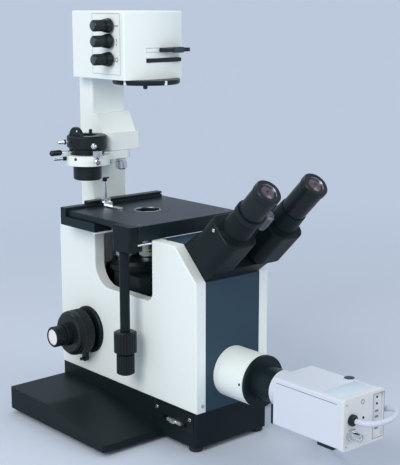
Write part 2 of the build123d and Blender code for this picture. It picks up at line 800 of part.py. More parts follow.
# Stage plate with a stepped hole, a deep front rail and a rear foot rail
with BuildPart() as stage_plate:
    stage_middle = axis_y + (stage_back - stage_front) / 2
    slab(Plane.XY.move(Location((0, stage_middle, stage_bottom))), 2 * stage_half, stage_front + stage_back,
         stage_thickness, corner=stage_corner)
    box_between((-stage_half, axis_y - stage_front, rail_bottom),
                (stage_half, axis_y - stage_front + rail_depth, stage_bottom))
    box_between((-rear_rail_half, axis_y + stage_back - rear_rail_depth, panel_top),
                (rear_rail_half, axis_y + stage_back, stage_bottom))
    rod(Plane.XY.move(Location((0, axis_y, stage_bottom - overrun))), stage_hole_radius - insert_step,
        stage_thickness + 2 * overrun, mode=Mode.SUBTRACT)
    rod(Plane.XY.move(Location((0, axis_y, stage_top - insert_depth))), stage_hole_radius,
        insert_depth + overrun,
        mode=Mode.SUBTRACT)
    fillet(stage_plate.faces().filter_by(Axis.Z).sort_by(Axis.Z)[-1].outer_wire().edges(), edge_round / 2)
finish(stage_plate, "stage_plate")

# Round insert in the stage with the window over the objective
with BuildPart() as stage_insert:
    turned(Plane.XY.move(Location((0, axis_y, stage_top - insert_depth))),
           [(insert_window_radius, 0), (stage_hole_radius - seat_gap, 0),
            (stage_hole_radius - seat_gap, insert_depth), (insert_window_radius + edge_round, insert_depth),
            (insert_window_radius, insert_depth - edge_round)])
finish(stage_insert, "stage_insert")

# Drive bracket on the stage's left edge with the column that carries the coaxial knobs
with BuildPart() as drive_column:
    column_y = axis_y - column_offset
    bracket_x = column_x - bracket_width / 2
    bracket_right = -stage_half - seat_gap / 3
    box_between((bracket_x, axis_y - bracket_front, bracket_bottom),
                (bracket_right, axis_y - bracket_back, stage_top))
    rib_top = rail_bottom - seat_gap
    box_between((bracket_right - edge_round, axis_y - bracket_front + edge_round, bracket_bottom),
                (column_x + column_radius * 2, column_y + column_radius, rib_top))
    bracket_edges = drive_column.edges().filter_by(Axis.Z).group_by(Axis.X)[0]
    fillet(bracket_edges, edge_round * 2)
    turned(Plane(origin=(column_x, column_y, bracket_bottom), x_dir=(1, 0, 0), z_dir=(0, 0, -1)),
           [(0, -edge_round), (column_radius * 1.3, -edge_round), (column_radius * 1.3, edge_round),
            (column_radius, 2 * edge_round), (column_radius, bracket_bottom - column_bottom),
            (drive_pin_radius, bracket_bottom - column_bottom),
            (drive_pin_radius, bracket_bottom - lower_knob_bottom - edge_round),
            (0, bracket_bottom - lower_knob_bottom - edge_round)])
finish(drive_column, "drive_column")


def stage_knob(name, top, bottom, radius):
    """A ribbed knob with rounded ends that turns on the drive column's pin."""
    with BuildPart() as knob:
        place = Plane.XY.move(Location((column_x, column_y, bottom)))
        turned(place, [(0, 0), (radius - 2 * edge_round, 0), (radius - edge_round / 2, edge_round),
                       (0, edge_round)])
        ribbed(place.offset(edge_round), radius, top - bottom - 2 * edge_round, stage_knob_ribs,
               drum_rib_depth)
        turned(place.offset(top - bottom - edge_round),
               [(0, 0), (radius - edge_round / 2, 0), (radius - 2 * edge_round, edge_round), (0, edge_round)])
        rod(place.offset(-overrun), drive_pin_radius + running_gap, top - bottom + 2 * overrun,
            mode=Mode.SUBTRACT)
    finish(knob, name)


stage_knob("stage_y_knob", column_bottom - seat_gap, upper_knob_bottom, upper_knob_radius)
stage_knob("stage_x_knob", upper_knob_bottom - seat_gap, lower_knob_bottom, lower_knob_radius)

# Cross carriage: the plate under the stage's left side, its lug and the guide bar on top
with BuildPart() as y_carriage:
    lug_right = -stage_half - seat_gap
    lug_left = lug_right - lug_thickness
    bar_y = axis_y + bar_front
    box_between((lug_left, axis_y - carriage_front, panel_top + seat_gap),
                (-carriage_inner, axis_y + stage_back, stage_bottom - seat_gap))
    box_between((lug_left, bar_y, panel_top + seat_gap), (lug_right, bar_y + bar_depth,
                                                          stage_top + bar_thin + seat_gap))
    bar_bottom = stage_top + seat_gap
    box_between((lug_left, bar_y, bar_bottom), (bar_right, bar_y + bar_depth, bar_bottom + bar_thin))
    box_between((bar_step_x, bar_y, bar_bottom), (bar_right, bar_y + bar_depth, bar_bottom + bar_thick))
    groove_z = bar_bottom + bar_thick / 2
    box_between((bar_step_x - overrun, bar_y - overrun, groove_z),
                (bar_right + overrun, bar_y + bar_depth / 4, groove_z + edge_round),
                mode=Mode.SUBTRACT)
finish(y_carriage, "y_carriage")

# Specimen holder: foot on the guide bar, upright rod with a hook, and a flat finger
with BuildPart() as specimen_holder:
    foot_back = bar_y - seat_gap
    foot_front = foot_back - holder_foot
    foot_top = bar_bottom + holder_foot_height
    rod_y = foot_back - holder_foot / 2
    box_between((holder_x - holder_foot / 2, foot_front, bar_bottom),
                (holder_x + holder_foot / 2, foot_back, foot_top))
    cap_bottom = bar_bottom + bar_thick + seat_gap
    box_between((holder_x - holder_foot / 2, rod_y - holder_rod_radius, foot_top - edge_round),
                (holder_x + holder_foot / 2, foot_back, cap_bottom + edge_round * 2))
    box_between((holder_x - holder_foot / 2, foot_back - edge_round, cap_bottom),
                (holder_x + holder_foot / 2, bar_y + bar_depth / 2, cap_bottom + edge_round * 2))
    turned(Plane.XY.move(Location((holder_x, rod_y, foot_top))),
           [(0, -edge_round), (holder_rod_radius * 1.7, -edge_round), (holder_rod_radius * 1.7, edge_round),
            (holder_rod_radius, 2 * edge_round), (holder_rod_radius, holder_rod_length - edge_round),
            (holder_rod_radius - edge_round / 2, holder_rod_length), (0, holder_rod_length)])
    box_between((holder_x - finger_width / 2, foot_front - finger_length, bar_bottom),
                (holder_x + finger_width / 2, foot_front + edge_round, bar_bottom + edge_round))
    fillet(specimen_holder.edges().filter_by(Axis.Z).group_by(Axis.Y)[0], finger_width / 3)
finish(specimen_holder, "specimen_holder")

# Pillar: a hollow rounded column that runs on as a spine behind the lamp housing
with BuildPart() as pillar:
    post_front = axis_y + pillar_front
    post_back = axis_y + pillar_back
    spine_front = axis_y + housing_back
    side_profile([(post_front, panel_top), (post_back, panel_top), (post_back, spine_top),
                  (spine_front, spine_top),
                  (spine_front, housing_bottom), (post_front, housing_bottom)], -pillar_half, pillar_half)
    fillet(pillar.edges().filter_by(Axis.Z), pillar_round)
    box_between((pillar_wall - pillar_half, post_front + pillar_wall, panel_top - overrun),
                (pillar_half - pillar_wall, post_back - pillar_wall, housing_bottom - pillar_wall),
                mode=Mode.SUBTRACT)
finish(pillar, "pillar")

# Lamp housing: a thin-walled box with a gently convex front, slots for two trays and a light hole below
with BuildPart() as lamp_housing:
    corner_y = housing_face + housing_bulge
    rear_y = axis_y + housing_back
    with BuildSketch(Plane.XY.offset(housing_bottom)) as outline:
        with BuildLine():
            ThreePointArc((-housing_half, corner_y), (0, housing_face), (housing_half, corner_y))
            Polyline((housing_half, corner_y), (housing_half, rear_y), (-housing_half, rear_y),
                     (-housing_half, corner_y))
        make_face()
        fillet(outline.vertices(), housing_round)
    extrude(amount=housing_top - housing_bottom)
    fillet(lamp_housing.faces().sort_by(Axis.Z)[-1].edges(), edge_round)
    with BuildSketch(Plane.XY.offset(housing_bottom + housing_wall)) as cavity:
        with BuildLine():
            inner_half_width = housing_half - housing_wall
            Polyline((inner_half_width, corner_y + housing_wall), (inner_half_width, rear_y - housing_wall),
                     (-inner_half_width, rear_y - housing_wall), (-inner_half_width, corner_y + housing_wall))
            ThreePointArc((-inner_half_width, corner_y + housing_wall), (0, housing_face + housing_wall),
                          (inner_half_width, corner_y + housing_wall))
        make_face()
    extrude(cavity.sketch, amount=housing_top - housing_bottom - 2 * housing_wall, mode=Mode.SUBTRACT)
    rod(Plane.XY.move(Location((0, axis_y, housing_bottom - overrun))), housing_hole_radius,
        housing_wall + 2 * overrun, mode=Mode.SUBTRACT)
    for left, right, low in ((lower_slot_left, lower_slot_right, lower_slot_z),
                             (upper_slot_left, upper_slot_right, upper_slot_z)):
        box_between((left, housing_face - overrun, low), (right, corner_y + 2 * housing_wall,
                                                          low + slide_tray_height),
                    mode=Mode.SUBTRACT)
    for knob_z in lamp_knob_heights:
        rod(looking(-housing_half - overrun, axis_y + lamp_knob_offset, knob_z, "right"),
            lamp_knob_neck_radius + running_gap, housing_wall + 2 * overrun, mode=Mode.SUBTRACT)
finish(lamp_housing, "lamp_housing")


def filter_tray(name, left, right, low, grip_from, grip_out):
    """A flat tray with a filter hole, a front edge that follows the housing and a grip."""
    with BuildPart() as tray:
        tray_low = low + seat_gap
        tray_high = low + slide_tray_height - seat_gap
        box_between((left + seat_gap, housing_face + 2 * housing_wall / 3, tray_low),
                    (right - seat_gap, axis_y + tray_back, tray_high))
        if grip_out:
            box_between((grip_from, housing_face - grip_out, tray_low),
                        (right - seat_gap, housing_face + housing_wall, tray_high))
            fillet(tray.edges().filter_by(Axis.Z).group_by(Axis.Y)[0], edge_round)
        rod(Plane.XY.move(Location((0, axis_y, low))), filter_radius, slide_tray_height, mode=Mode.SUBTRACT)
    finish(tray, name)


filter_tray("lower_filter_tray", lower_slot_left, lower_slot_right, lower_slot_z, lower_slot_left + seat_gap,
            seat_gap)
filter_tray("upper_filter_tray", upper_slot_left, upper_slot_right, upper_slot_z, grip_left, grip_length)

# Lamp in its socket, hanging from the housing's roof over the light path
with BuildPart() as lamp:
    roof = looking(0, axis_y, housing_top - housing_wall, "down")
    turned(roof, [(0, 0), (socket_radius, 0), (socket_radius, socket_length * 0.8),
                  (socket_radius * 0.8, socket_length), (lamp_radius * 0.7, socket_length),
                  (lamp_radius, socket_length + lamp_length * 0.4),
                  (lamp_radius * 0.8, socket_length + lamp_length * 0.8),
                  (0, socket_length + lamp_length)])
finish(lamp, "lamp")

# Collector lens in a ring on a bridge between the housing's side walls
with BuildPart() as collector_lens:
    lens_place = Plane.XY.move(Location((0, axis_y, lens_bottom)))
    turned(lens_place, [(0, 0), (lens_radius + lens_ring, 0), (lens_radius + lens_ring, lens_thickness),
                        (lens_radius, lens_thickness), (lens_radius * 0.5, lens_thickness * 1.2),
                        (0, lens_thickness * 1.3)])
    for side in (-1, 1):
        bridge_x = side * (lens_radius + inner_half_width) / 2
        slab(Plane.XY.move(Location((bridge_x, axis_y, lens_bottom))), inner_half_width - lens_radius,
             3 * lens_ring,
             lens_ring)
finish(collector_lens, "collector_lens")

# Field diaphragm ring under the housing, with two pale notches and a small lever
with BuildPart() as field_diaphragm:
    ring_top = housing_bottom - seat_gap
    ring_low = ring_top - diaphragm_height
    ring_plane = Plane.XY.move(Location((0, axis_y, ring_low)))
    turned(ring_plane, [(diaphragm_bore_radius, 0), (diaphragm_radius - edge_round, 0),
                        (diaphragm_radius, edge_round), (diaphragm_radius, diaphragm_height),
                        (diaphragm_bore_radius, diaphragm_height)])
    for notch_angle in diaphragm_notch_angles:
        notch_place = around(0, axis_y, notch_angle, diaphragm_radius, ring_low - overrun)
        rod(Plane(origin=notch_place.origin), diaphragm_notch / 2, diaphragm_height / 2 + overrun,
            mode=Mode.SUBTRACT)
    lever_out = around(0, axis_y, diaphragm_lever_angle, diaphragm_radius - diaphragm_notch, ring_low)
    slab(lever_out, 2 * diaphragm_lever, diaphragm_notch, diaphragm_notch + edge_round, corner=edge_round)
finish(field_diaphragm, "field_diaphragm")

# Knobs on the housing's left side: a narrow neck and a bell-shaped ribbed grip
for knob_name, knob_z in zip(("top_lamp_knob", "middle_lamp_knob", "bottom_lamp_knob"), lamp_knob_heights):
    with BuildPart() as lamp_knob:
        knob_place = looking(-housing_half + housing_wall, axis_y + lamp_knob_offset, knob_z, "left")
        bell = lamp_knob_reach - lamp_knob_neck
        neck_end = housing_wall + lamp_knob_neck
        rod(knob_place, lamp_knob_neck_radius, neck_end + edge_round)
        turned(knob_place.offset(neck_end),
               [(0, 0), (lamp_knob_radius, 0), (lamp_knob_radius, edge_round),
                (lamp_knob_cap_radius, bell * 0.45), (lamp_knob_cap_radius, bell - edge_round),
                (lamp_knob_cap_radius - edge_round, bell), (0, bell)])
        with BuildSketch(knob_place.offset(neck_end + bell * 0.3)) as grooves:
            with PolarLocations(lamp_knob_cap_radius + drum_rib_depth / 2, lamp_knob_ribs):
                Circle(drum_rib_depth)
        extrude(grooves.sketch, amount=bell, mode=Mode.SUBTRACT)
    finish(lamp_knob, knob_name)

# Condenser bracket on the pillar, with the pivot pin of the swing arm and a collar under the arm
with BuildPart() as condenser_bracket:
    nose_y = axis_y + condenser_bracket_front
    box_between((-bracket_half, nose_y, condenser_bracket_bottom),
                (bracket_half, post_front, condenser_bracket_top))
    nose_edges = condenser_bracket.edges().filter_by(Axis.Z).group_by(Axis.Y)[0]
    fillet(nose_edges, condenser_bracket_round)
    side_profile([(axis_y + wedge_bottom_y, condenser_bracket_top - edge_round),
                  (axis_y + wedge_top_y, wedge_top), (post_front, wedge_top),
                  (post_front, condenser_bracket_top - edge_round)], -pillar_half, pillar_half)
    clamp_bottom = arm_bottom - 2 * seat_gap - clamp_collar_height - clamp_knob_height
    rod(Plane.XY.move(Location((0, pivot_y, clamp_bottom))), pivot_radius,
        condenser_bracket_bottom - clamp_bottom + edge_round)
    rod(Plane.XY.move(Location((0, pivot_y, arm_bottom - seat_gap - clamp_collar_height))),
        clamp_knob_radius * 0.85, clamp_collar_height)
finish(condenser_bracket, "condenser_bracket")

# Swing arm with the ring that holds the condenser
with BuildPart() as condenser_arm:
    arm_middle = condenser_x / 2
    slab(Plane.XY.move(Location((arm_middle, pivot_y, arm_bottom))), pivot_offset, 2 * arm_half,
         arm_thickness)
    rod(Plane.XY.move(Location((0, pivot_y, arm_bottom))), arm_half, arm_thickness)
    rod(Plane.XY.move(Location((condenser_x, pivot_y, condenser_ring_bottom))), condenser_ring_radius,
        condenser_ring_top - condenser_ring_bottom)
    rod(Plane.XY.move(Location((condenser_x, pivot_y, condenser_ring_bottom - overrun))),
        barrel_radius + running_gap,
        condenser_ring_top - condenser_ring_bottom + 2 * overrun, mode=Mode.SUBTRACT)
    rod(Plane.XY.move(Location((0, pivot_y, arm_bottom - overrun))), pivot_radius + running_gap,
        arm_thickness + 2 * overrun, mode=Mode.SUBTRACT)
    rod(Plane.XY.move(Location((condenser_x, pivot_y, condenser_ring_top))),
        condenser_neck_radius + seat_gap, overrun,
        mode=Mode.SUBTRACT)
    screw_place = around(condenser_x, pivot_y, ring_screw_angle, condenser_ring_radius - edge_round,
                         condenser_ring_bottom + condenser_ring_height / 2)
    turned(screw_place, [(0, 0), (screw_knob_radius / 2, 0), (screw_knob_radius / 2, 2 * edge_round),
                         (screw_knob_radius, 2 * edge_round),
                         (screw_knob_radius, screw_knob_length - edge_round / 2),
                         (screw_knob_radius - edge_round / 2, screw_knob_length), (0, screw_knob_length)])
finish(condenser_arm, "condenser_arm")

# Condenser: barrel, neck and the wide body of the aperture diaphragm, bored through
with BuildPart() as condenser_body:
    condenser_place = Plane.XY.move(Location((condenser_x, pivot_y, 0)))
    turned(condenser_place,
           [(condenser_bore_radius, barrel_bottom), (barrel_radius - edge_round, barrel_bottom),
            (barrel_radius, barrel_bottom + edge_round), (barrel_radius, condenser_ring_top + seat_gap),
            (condenser_neck_radius, condenser_ring_top + seat_gap),
            (condenser_neck_radius, condenser_body_bottom),
            (condenser_body_radius - edge_round, condenser_body_bottom),
            (condenser_body_radius, condenser_body_bottom + edge_round),
            (condenser_body_radius, condenser_body_top - edge_round),
            (condenser_body_radius - edge_round, condenser_body_top),
            (condenser_bore_radius, condenser_body_top)])
    control_place = around(condenser_x, pivot_y, control_angle, condenser_body_radius - edge_round,
                           condenser_body_bottom + condenser_body_height * control_height_share)
    ball = screw_knob_radius
    turned(control_place, [(0, 0), (ball / 2, 0), (ball / 2, control_stem), (ball * 0.8,
                                                                             control_stem + ball * 0.4),
                           (ball, control_stem + ball), (ball * 0.8, control_stem + ball * 1.6),
                           (ball / 2, control_stem + ball * 1.9), (0, control_stem + ball * 2)])
    wheel_room = phase_wheel_radius + seat_gap
    slab(looking(phase_wheel_x, phase_wheel_y, phase_wheel_z - wheel_room, "up"),
         phase_wheel_width + 2 * seat_gap,
         2 * wheel_room, wheel_room + overrun, mode=Mode.SUBTRACT)
    axle_reach = phase_wheel_width / 2 + edge_round
    rod(looking(phase_wheel_x - axle_reach - seat_gap, phase_wheel_y, phase_wheel_z, "right"),
        phase_axle_radius + running_gap, 2 * (axle_reach + seat_gap), mode=Mode.SUBTRACT)
finish(condenser_body, "condenser_body")

# Condenser lens in the barrel's mouth
with BuildPart() as condenser_lens:
    lens_low = condenser_place.offset(barrel_bottom)
    turned(lens_low, [(0, edge_round / 2), (condenser_bore_radius - running_gap, edge_round * 1.5),
                      (condenser_bore_radius - running_gap, edge_round * 3), (0, edge_round * 4)])
finish(condenser_lens, "condenser_lens")

# Lever of the aperture diaphragm: a ring around the neck, a thin rod and a grip
with BuildPart() as aperture_lever:
    lever_place = condenser_place.offset(aperture_z - edge_round)
    rod(lever_place, condenser_neck_radius + edge_round, 2 * edge_round)
    rod(lever_place.offset(-overrun), condenser_neck_radius + running_gap, 3 * overrun, mode=Mode.SUBTRACT)
    rod_root = looking(condenser_x - condenser_neck_radius - edge_round / 2, pivot_y, aperture_z, "left")
    rod(rod_root, aperture_rod_radius * 0.9, aperture_rod_length + edge_round)
    turned(rod_root.offset(aperture_rod_length),
           [(0, 0), (aperture_grip_radius * 0.8, 0), (aperture_grip_radius, edge_round),
            (aperture_grip_radius, aperture_grip_length - edge_round),
            (aperture_grip_radius - edge_round, aperture_grip_length), (0, aperture_grip_length)])
finish(aperture_lever, "aperture_lever")

# Filter wheel that stands half sunk in the condenser's top, turning on a short axle
with BuildPart() as phase_plate:
    wheel_left = looking(phase_wheel_x - phase_wheel_width / 2, phase_wheel_y, phase_wheel_z, "right")
    rod(wheel_left, phase_wheel_radius, phase_wheel_width)
    wheel_rims = phase_plate.edges().filter_by(GeomType.CIRCLE)
    chamfer(wheel_rims, edge_round / 3)
    rod(wheel_left.offset(-edge_round), phase_axle_radius, phase_wheel_width + 2 * edge_round)
finish(phase_plate, "phase_plate")

# Clamp knob below the swing arm's pivot
with BuildPart() as arm_clamp_knob:
    clamp_low = Plane.XY.move(Location((0, pivot_y, clamp_bottom)))
    ribbed(clamp_low.offset(edge_round), clamp_knob_radius, clamp_knob_height * 0.75, clamp_knob_ribs,
           drum_rib_depth / 2)
    turned(clamp_low, [(0, 0), (clamp_knob_radius - edge_round, 0), (clamp_knob_radius - drum_rib_depth,
                                                                     edge_round),
                       (0, edge_round)])
    rod(clamp_low.offset(clamp_knob_height * 0.75), clamp_knob_radius * 0.85, clamp_knob_height / 4)
    rod(clamp_low.offset(-overrun), pivot_radius + running_gap, clamp_knob_height + 2 * overrun,
        mode=Mode.SUBTRACT)
finish(arm_clamp_knob, "arm_clamp_knob")

# Head base: the black block on the sloping seat, with a slot for the sliding prism housings
head_axis = Plane(origin=(0, front_y + slope_run * 0.3, panel_front_top + slope_run * 0.3), x_dir=(1, 0, 0),
                  z_dir=(0, -1, 1))
head_middle = (head_base_low + head_base_high) / 2


def head_point(across, up, along):
    """A plane on the head's axis, moved across and up, at a distance along it."""
    return Plane(origin=head_axis.offset(along).from_local_coords((across, up, 0)), x_dir=(1, 0, 0),
                 z_dir=(0, -1, 1))


with BuildPart() as head_base:
    base_depth = head_base_high - head_base_low
    with BuildSketch(head_axis) as foot_outline:
        with Locations((0, head_middle)):
            RectangleRounded(2 * (head_half - seat_gap), base_depth, edge_round * 2)
    with BuildSketch(head_axis.offset(head_base_length)) as top_outline:
        with Locations((0, head_middle - head_base_taper / 2)):
            RectangleRounded(2 * (head_half - seat_gap), base_depth, edge_round * 2)
    loft([foot_outline.sketch, top_outline.sketch])
    with BuildSketch(head_axis) as light_way:
        with Locations((0, head_middle)):
            Circle(light_hole_radius)
    extrude(light_way.sketch, amount=head_base_length, mode=Mode.SUBTRACT)
    with BuildSketch(head_axis.offset(head_base_length)) as rail_outline:
        with Locations((0, head_middle)):
            Rectangle(2 * (head_half - seat_gap), 2 * head_slot_half)
    extrude(rail_outline.sketch, amount=prism_start - head_base_length + slide_rail)
    rod(head_axis.offset(head_base_length - edge_round), dial_pin_radius,
        dial_end - head_base_length - 2 * edge_round)
finish(head_base, "head_base")


# Prism housings with tapered eye tubes; they slide apart to suit the user's eyes
for side_name, side in (("left", -1), ("right", 1)):
    with BuildPart() as prism_housing:
        centre_x = side * prism_offset
        prism_depth = prism_high - prism_low
        prism_middle = (prism_low + prism_high) / 2
        slab(head_point(centre_x, prism_middle, prism_start), 2 * prism_half, prism_depth, prism_length,
             corner=prism_corner)
        rims = prism_housing.faces().sort_by(Axis(head_axis.origin, head_axis.z_dir))[-1].edges()
        chamfer(rims, edge_round)
        tube_reach = eyepiece_start - tube_start + edge_round
        turned(head_point(centre_x, 0, prism_start + prism_length - edge_round),
               [(0, 0), (collar_radius, 0), (collar_radius, collar_height),
                (collar_radius - edge_round / 2, collar_height),
                (collar_radius - edge_round / 2, collar_height + edge_round),
                (tube_root_radius, collar_height + edge_round),
                (tube_end_radius, tube_reach), (0, tube_reach)])
        rod(head_point(centre_x, 0, eyepiece_start - eyepiece_plug_length - seat_gap),
            eyepiece_plug_radius + running_gap, eyepiece_plug_length + overrun, mode=Mode.SUBTRACT)
        rail_room = head_slot_half + seat_gap
        slab(head_point(0, head_middle, prism_start), 4 * (prism_offset + prism_half), 2 * rail_room,
             slide_rail + seat_gap, mode=Mode.SUBTRACT)
    finish(prism_housing, side_name + "_prism_housing")

# Eyepieces with a stepped rim and a dished eye lens
for side_name, side in (("left", -1), ("right", 1)):
    with BuildPart() as eyepiece:
        eyepiece_base = head_point(side * prism_offset, 0, eyepiece_start)
        eyepiece_length = eyepiece_end - eyepiece_start
        turned(eyepiece_base,
               [(0, -eyepiece_plug_length), (eyepiece_plug_radius, -eyepiece_plug_length),
                (eyepiece_plug_radius, seat_gap), (eyepiece_radius, seat_gap),
                (eyepiece_radius, eyepiece_length * 0.82),
                (eyepiece_rim_radius, eyepiece_length * 0.84),
                (eyepiece_rim_radius, eyepiece_length - edge_round),
                (eyepiece_rim_radius - edge_round, eyepiece_length),
                (eye_lens_radius + edge_round, eyepiece_length),
                (eye_lens_radius, eyepiece_length - eye_cup_depth),
                (0, eyepiece_length - eye_cup_depth + edge_round / 2)])
    finish(eyepiece, side_name + "_eyepiece")

# Dioptre ring on the left eye tube
with BuildPart() as dioptre_ring:
    ring_place = head_point(-prism_offset, 0, eyepiece_start + edge_round)
    ribbed(ring_place, dioptre_radius, dioptre_length, drum_ribs, drum_rib_depth / 2)
    rod(ring_place.offset(-overrun), eyepiece_radius + running_gap, dioptre_length + 2 * overrun,
        mode=Mode.SUBTRACT)
finish(dioptre_ring, "dioptre_ring")

# Eye distance dial between the tubes, turning on a pin of the head base
with BuildPart() as eye_distance_dial:
    dial_place = head_point(0, 0, dial_start)
    dial_length = dial_end - dial_start
    turned(dial_place, [(0, 0), (dial_radius, 0), (dial_radius, dial_length - edge_round),
                        (dial_radius - edge_round, dial_length), (0, dial_length)])
    rod(dial_place, dial_pin_radius + running_gap, dial_length - 2 * edge_round, mode=Mode.SUBTRACT)
finish(eye_distance_dial, "eye_distance_dial")

# Photo port: a white cylinder on the front cover with a fine groove
with BuildPart() as photo_port:
    port_place = looking(0, front_y, port_z, "front")
    turned(port_place, [(port_bore_radius, 0), (port_radius, 0), (port_radius, port_groove - seat_gap),
                        (port_radius - edge_round / 2, port_groove), (port_radius, port_groove + seat_gap),
                        (port_radius, port_length - edge_round), (port_radius - edge_round, port_length),
                        (port_bore_radius, port_length)])
finish(photo_port, "photo_port")

# Adapter between the port and the camera: a flange and a slim tube
with BuildPart() as port_adapter:
    adapter_place = looking(0, front_y - port_length, port_z, "front")
    tube_length = port_tube_end - front_reach - port_length
    turned(adapter_place, [(port_bore_radius, 0), (port_radius + seat_gap, 0), (port_radius + seat_gap,
                                                                                port_flange),
                           (port_tube_radius, port_flange), (port_tube_radius, tube_length),
                           (port_bore_radius, tube_length)])
finish(port_adapter, "port_adapter")

# Video camera: a rounded box body behind its round lens mount
with BuildPart() as video_camera:
    mount_place = looking(0, axis_y - port_tube_end, port_z, "front")
    turned(mount_place, [(port_bore_radius * 0.8, 0), (mount_ring_radius, 0),
                         (mount_ring_radius, mount_ring_end - port_tube_end),
                         (mount_ring_radius * 0.9, camera_front - port_tube_end + edge_round),
                         (port_bore_radius * 0.8, camera_front - port_tube_end + edge_round)])
    body_length = camera_back - camera_front - camera_back_depth
    slab(looking(0, axis_y - camera_front, camera_z, "front"), 2 * camera_half, 2 * camera_half_height,
         body_length, corner=camera_round)
    rod(looking(camera_plug_x, axis_y - camera_plug_reach, camera_top - edge_round, "up"), camera_plug_radius,
        edge_round * 2)
finish(video_camera, "video_camera")

# Back panel of the camera with a shallow recess for its switches
with BuildPart() as camera_back_panel:
    back_place = looking(0, camera_back_y + camera_back_depth, camera_z, "front")
    slab(back_place, 2 * camera_half + edge_round, 2 * camera_half_height + edge_round, camera_back_depth,
         corner=camera_round)
    door_middle = looking((door_left + door_right) / 2, camera_back_y + recess_depth, camera_z, "front")
    slab(door_middle, door_right - door_left, door_height, recess_depth, mode=Mode.SUBTRACT)
finish(camera_back_panel, "camera_back_panel")

# Video socket on the camera's back
with BuildPart() as video_socket:
    socket_place = looking(socket_x, camera_back_y, socket_z, "front")
    turned(socket_place, [(0, 0), (socket_tube_radius * 1.4, 0), (socket_tube_radius * 1.4, edge_round),
                          (socket_tube_radius, edge_round), (socket_tube_radius, socket_reach),
                          (socket_tube_radius * 0.75, socket_reach),
                          (socket_tube_radius * 0.75, socket_reach / 2),
                          (socket_tube_radius * 0.2, socket_reach / 2),
                          (socket_tube_radius * 0.2, socket_reach * 0.8),
                          (0, socket_reach * 0.8)])
    lug_y = camera_back_y - socket_reach * 0.7
    for side in (-1, 1):
        lug_root = socket_x + side * (socket_tube_radius - edge_round / 4)
        rod(looking(lug_root, lug_y, socket_z, "left" if side < 0 else "right"), edge_round / 2, edge_round)
finish(video_socket, "video_socket")

# Cable gland with a tapered strain relief
with BuildPart() as cable_gland:
    gland_place = looking(gland_x, camera_back_y, gland_z, "front")
    turned(gland_place, [(0, 0), (gland_radius, 0), (gland_radius, gland_flange), (gland_neck_radius,
                                                                                   gland_flange + edge_round),
                         (cable_radius + seat_gap, gland_length), (0, gland_length)])
finish(cable_gland, "cable_gland")

# Camera cable: out of the gland, round the camera's right side and down to the coil on the bench
cable_start = (gland_x, camera_back_y - gland_length, gland_z)
cable_route = [
    cable_start,
    (-19, -238.3, 89),
    (-12, -247.3, 90),
    (2, -252.3, 91.5),
    (18, -249.3, 92.5),
    (31, -239.3, 92),
    (39, -224.3, 88),
    (43, -206.3, 80),
    (47, -184.3, 65),
    (53, -158.3, 43),
    (62, -131.3, 20),
    (74, -103.3, 7),
    (86, -76.3, 3.2),
    (92.5, -50.8, 3.2),
]


def bend_radii(points):
    """The arc radius at each inner point: 0.45 of the shorter run over the tangent of half the turn."""
    radii = []
    for before, here, after in zip(points, points[1:], points[2:]):
        run_in = Vector(*here) - Vector(*before)
        run_out = Vector(*after) - Vector(*here)
        turn = math.radians(run_in.get_angle(run_out))
        radii.append(0.45 * min(run_in.length, run_out.length) / math.tan(turn / 2))
    return radii


cable_radii = bend_radii(cable_route)
print("cable radii", [round(radius, 1) for radius in cable_radii])
with BuildPart() as camera_cable:
    with BuildLine() as cable_path:
        FilletPolyline(*cable_route, radius=cable_radii)
    first_run = Vector(*cable_route[1]) - Vector(*cable_route[0])
    with BuildSketch(Plane(origin=cable_route[0], z_dir=first_run)) as cable_section:
        Circle(cable_radius)
    sweep(cable_section.sketch, path=cable_path.line)
print("cable volume share",
      camera_cable.part.volume / (math.pi * cable_radius ** 2 * cable_path.wire().length))
finish(camera_cable, "camera_cable")

# Closed outer shape of the coil that the rest of the cable makes on the bench
with BuildPart() as cable_coil:
    coil_y = axis_y - coil_reach
    coil_inner = coil_radius - (2 * coil_turns_across - 1) * cable_radius
    coil_height = 2 * cable_radius * coil_layers + seat_gap
    turned(looking(coil_x, coil_y, 0, "up"),
           [(coil_inner, 0), (coil_radius + cable_radius, 0), (coil_radius + cable_radius, coil_height),
            (coil_inner, coil_height)])
finish(cable_coil, "cable_coil")

# Moulded plug at the cable's far end, lying on the coil
with BuildPart() as cable_plug:
    plug_heading = math.radians(plug_turn)
    plug_axis = Vector(math.sin(plug_heading), -math.cos(plug_heading), 0)
    plug_middle = Vector(coil_x + plug_offset_x, coil_y + plug_offset_y, coil_height + plug_height / 2)
    plug_back = Plane(origin=plug_middle - plug_axis * (plug_body_length / 2), x_dir=(0, 0, 1),
                      z_dir=plug_axis)
    slab(plug_back, plug_height, plug_body_width, plug_body_length, corner=edge_round * 2)
    turned(plug_back.offset(-plug_tail), [(0, 0), (cable_radius + seat_gap, 0), (cable_radius + edge_round,
                                                                                 plug_tail),
                                          (0, plug_tail)])
    for side in (-1, 1):
        blade_place = plug_back.offset(plug_body_length)
        blade_shift = blade_place.from_local_coords((0, side * blade_half_spacing, 0))
        slab(Plane(origin=blade_shift, x_dir=(0, 0, 1), z_dir=plug_axis), blade_width, blade_thickness,
             blade_length)
finish(cable_plug, "cable_plug")
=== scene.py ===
# %% [markdown]
# # Inverted microscope with a video camera
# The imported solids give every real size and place, and this file gives them their finish: enamel,
# moulded plastic, turned metal, glass and a soft cable. Small things that a solid model leaves out,
# such as screws, glass, printed marks and seams, are modelled here and ride on the solids' bodies.

# %% Load the frame
import math

import bmesh
import bpy
from mathutils import Matrix, Vector


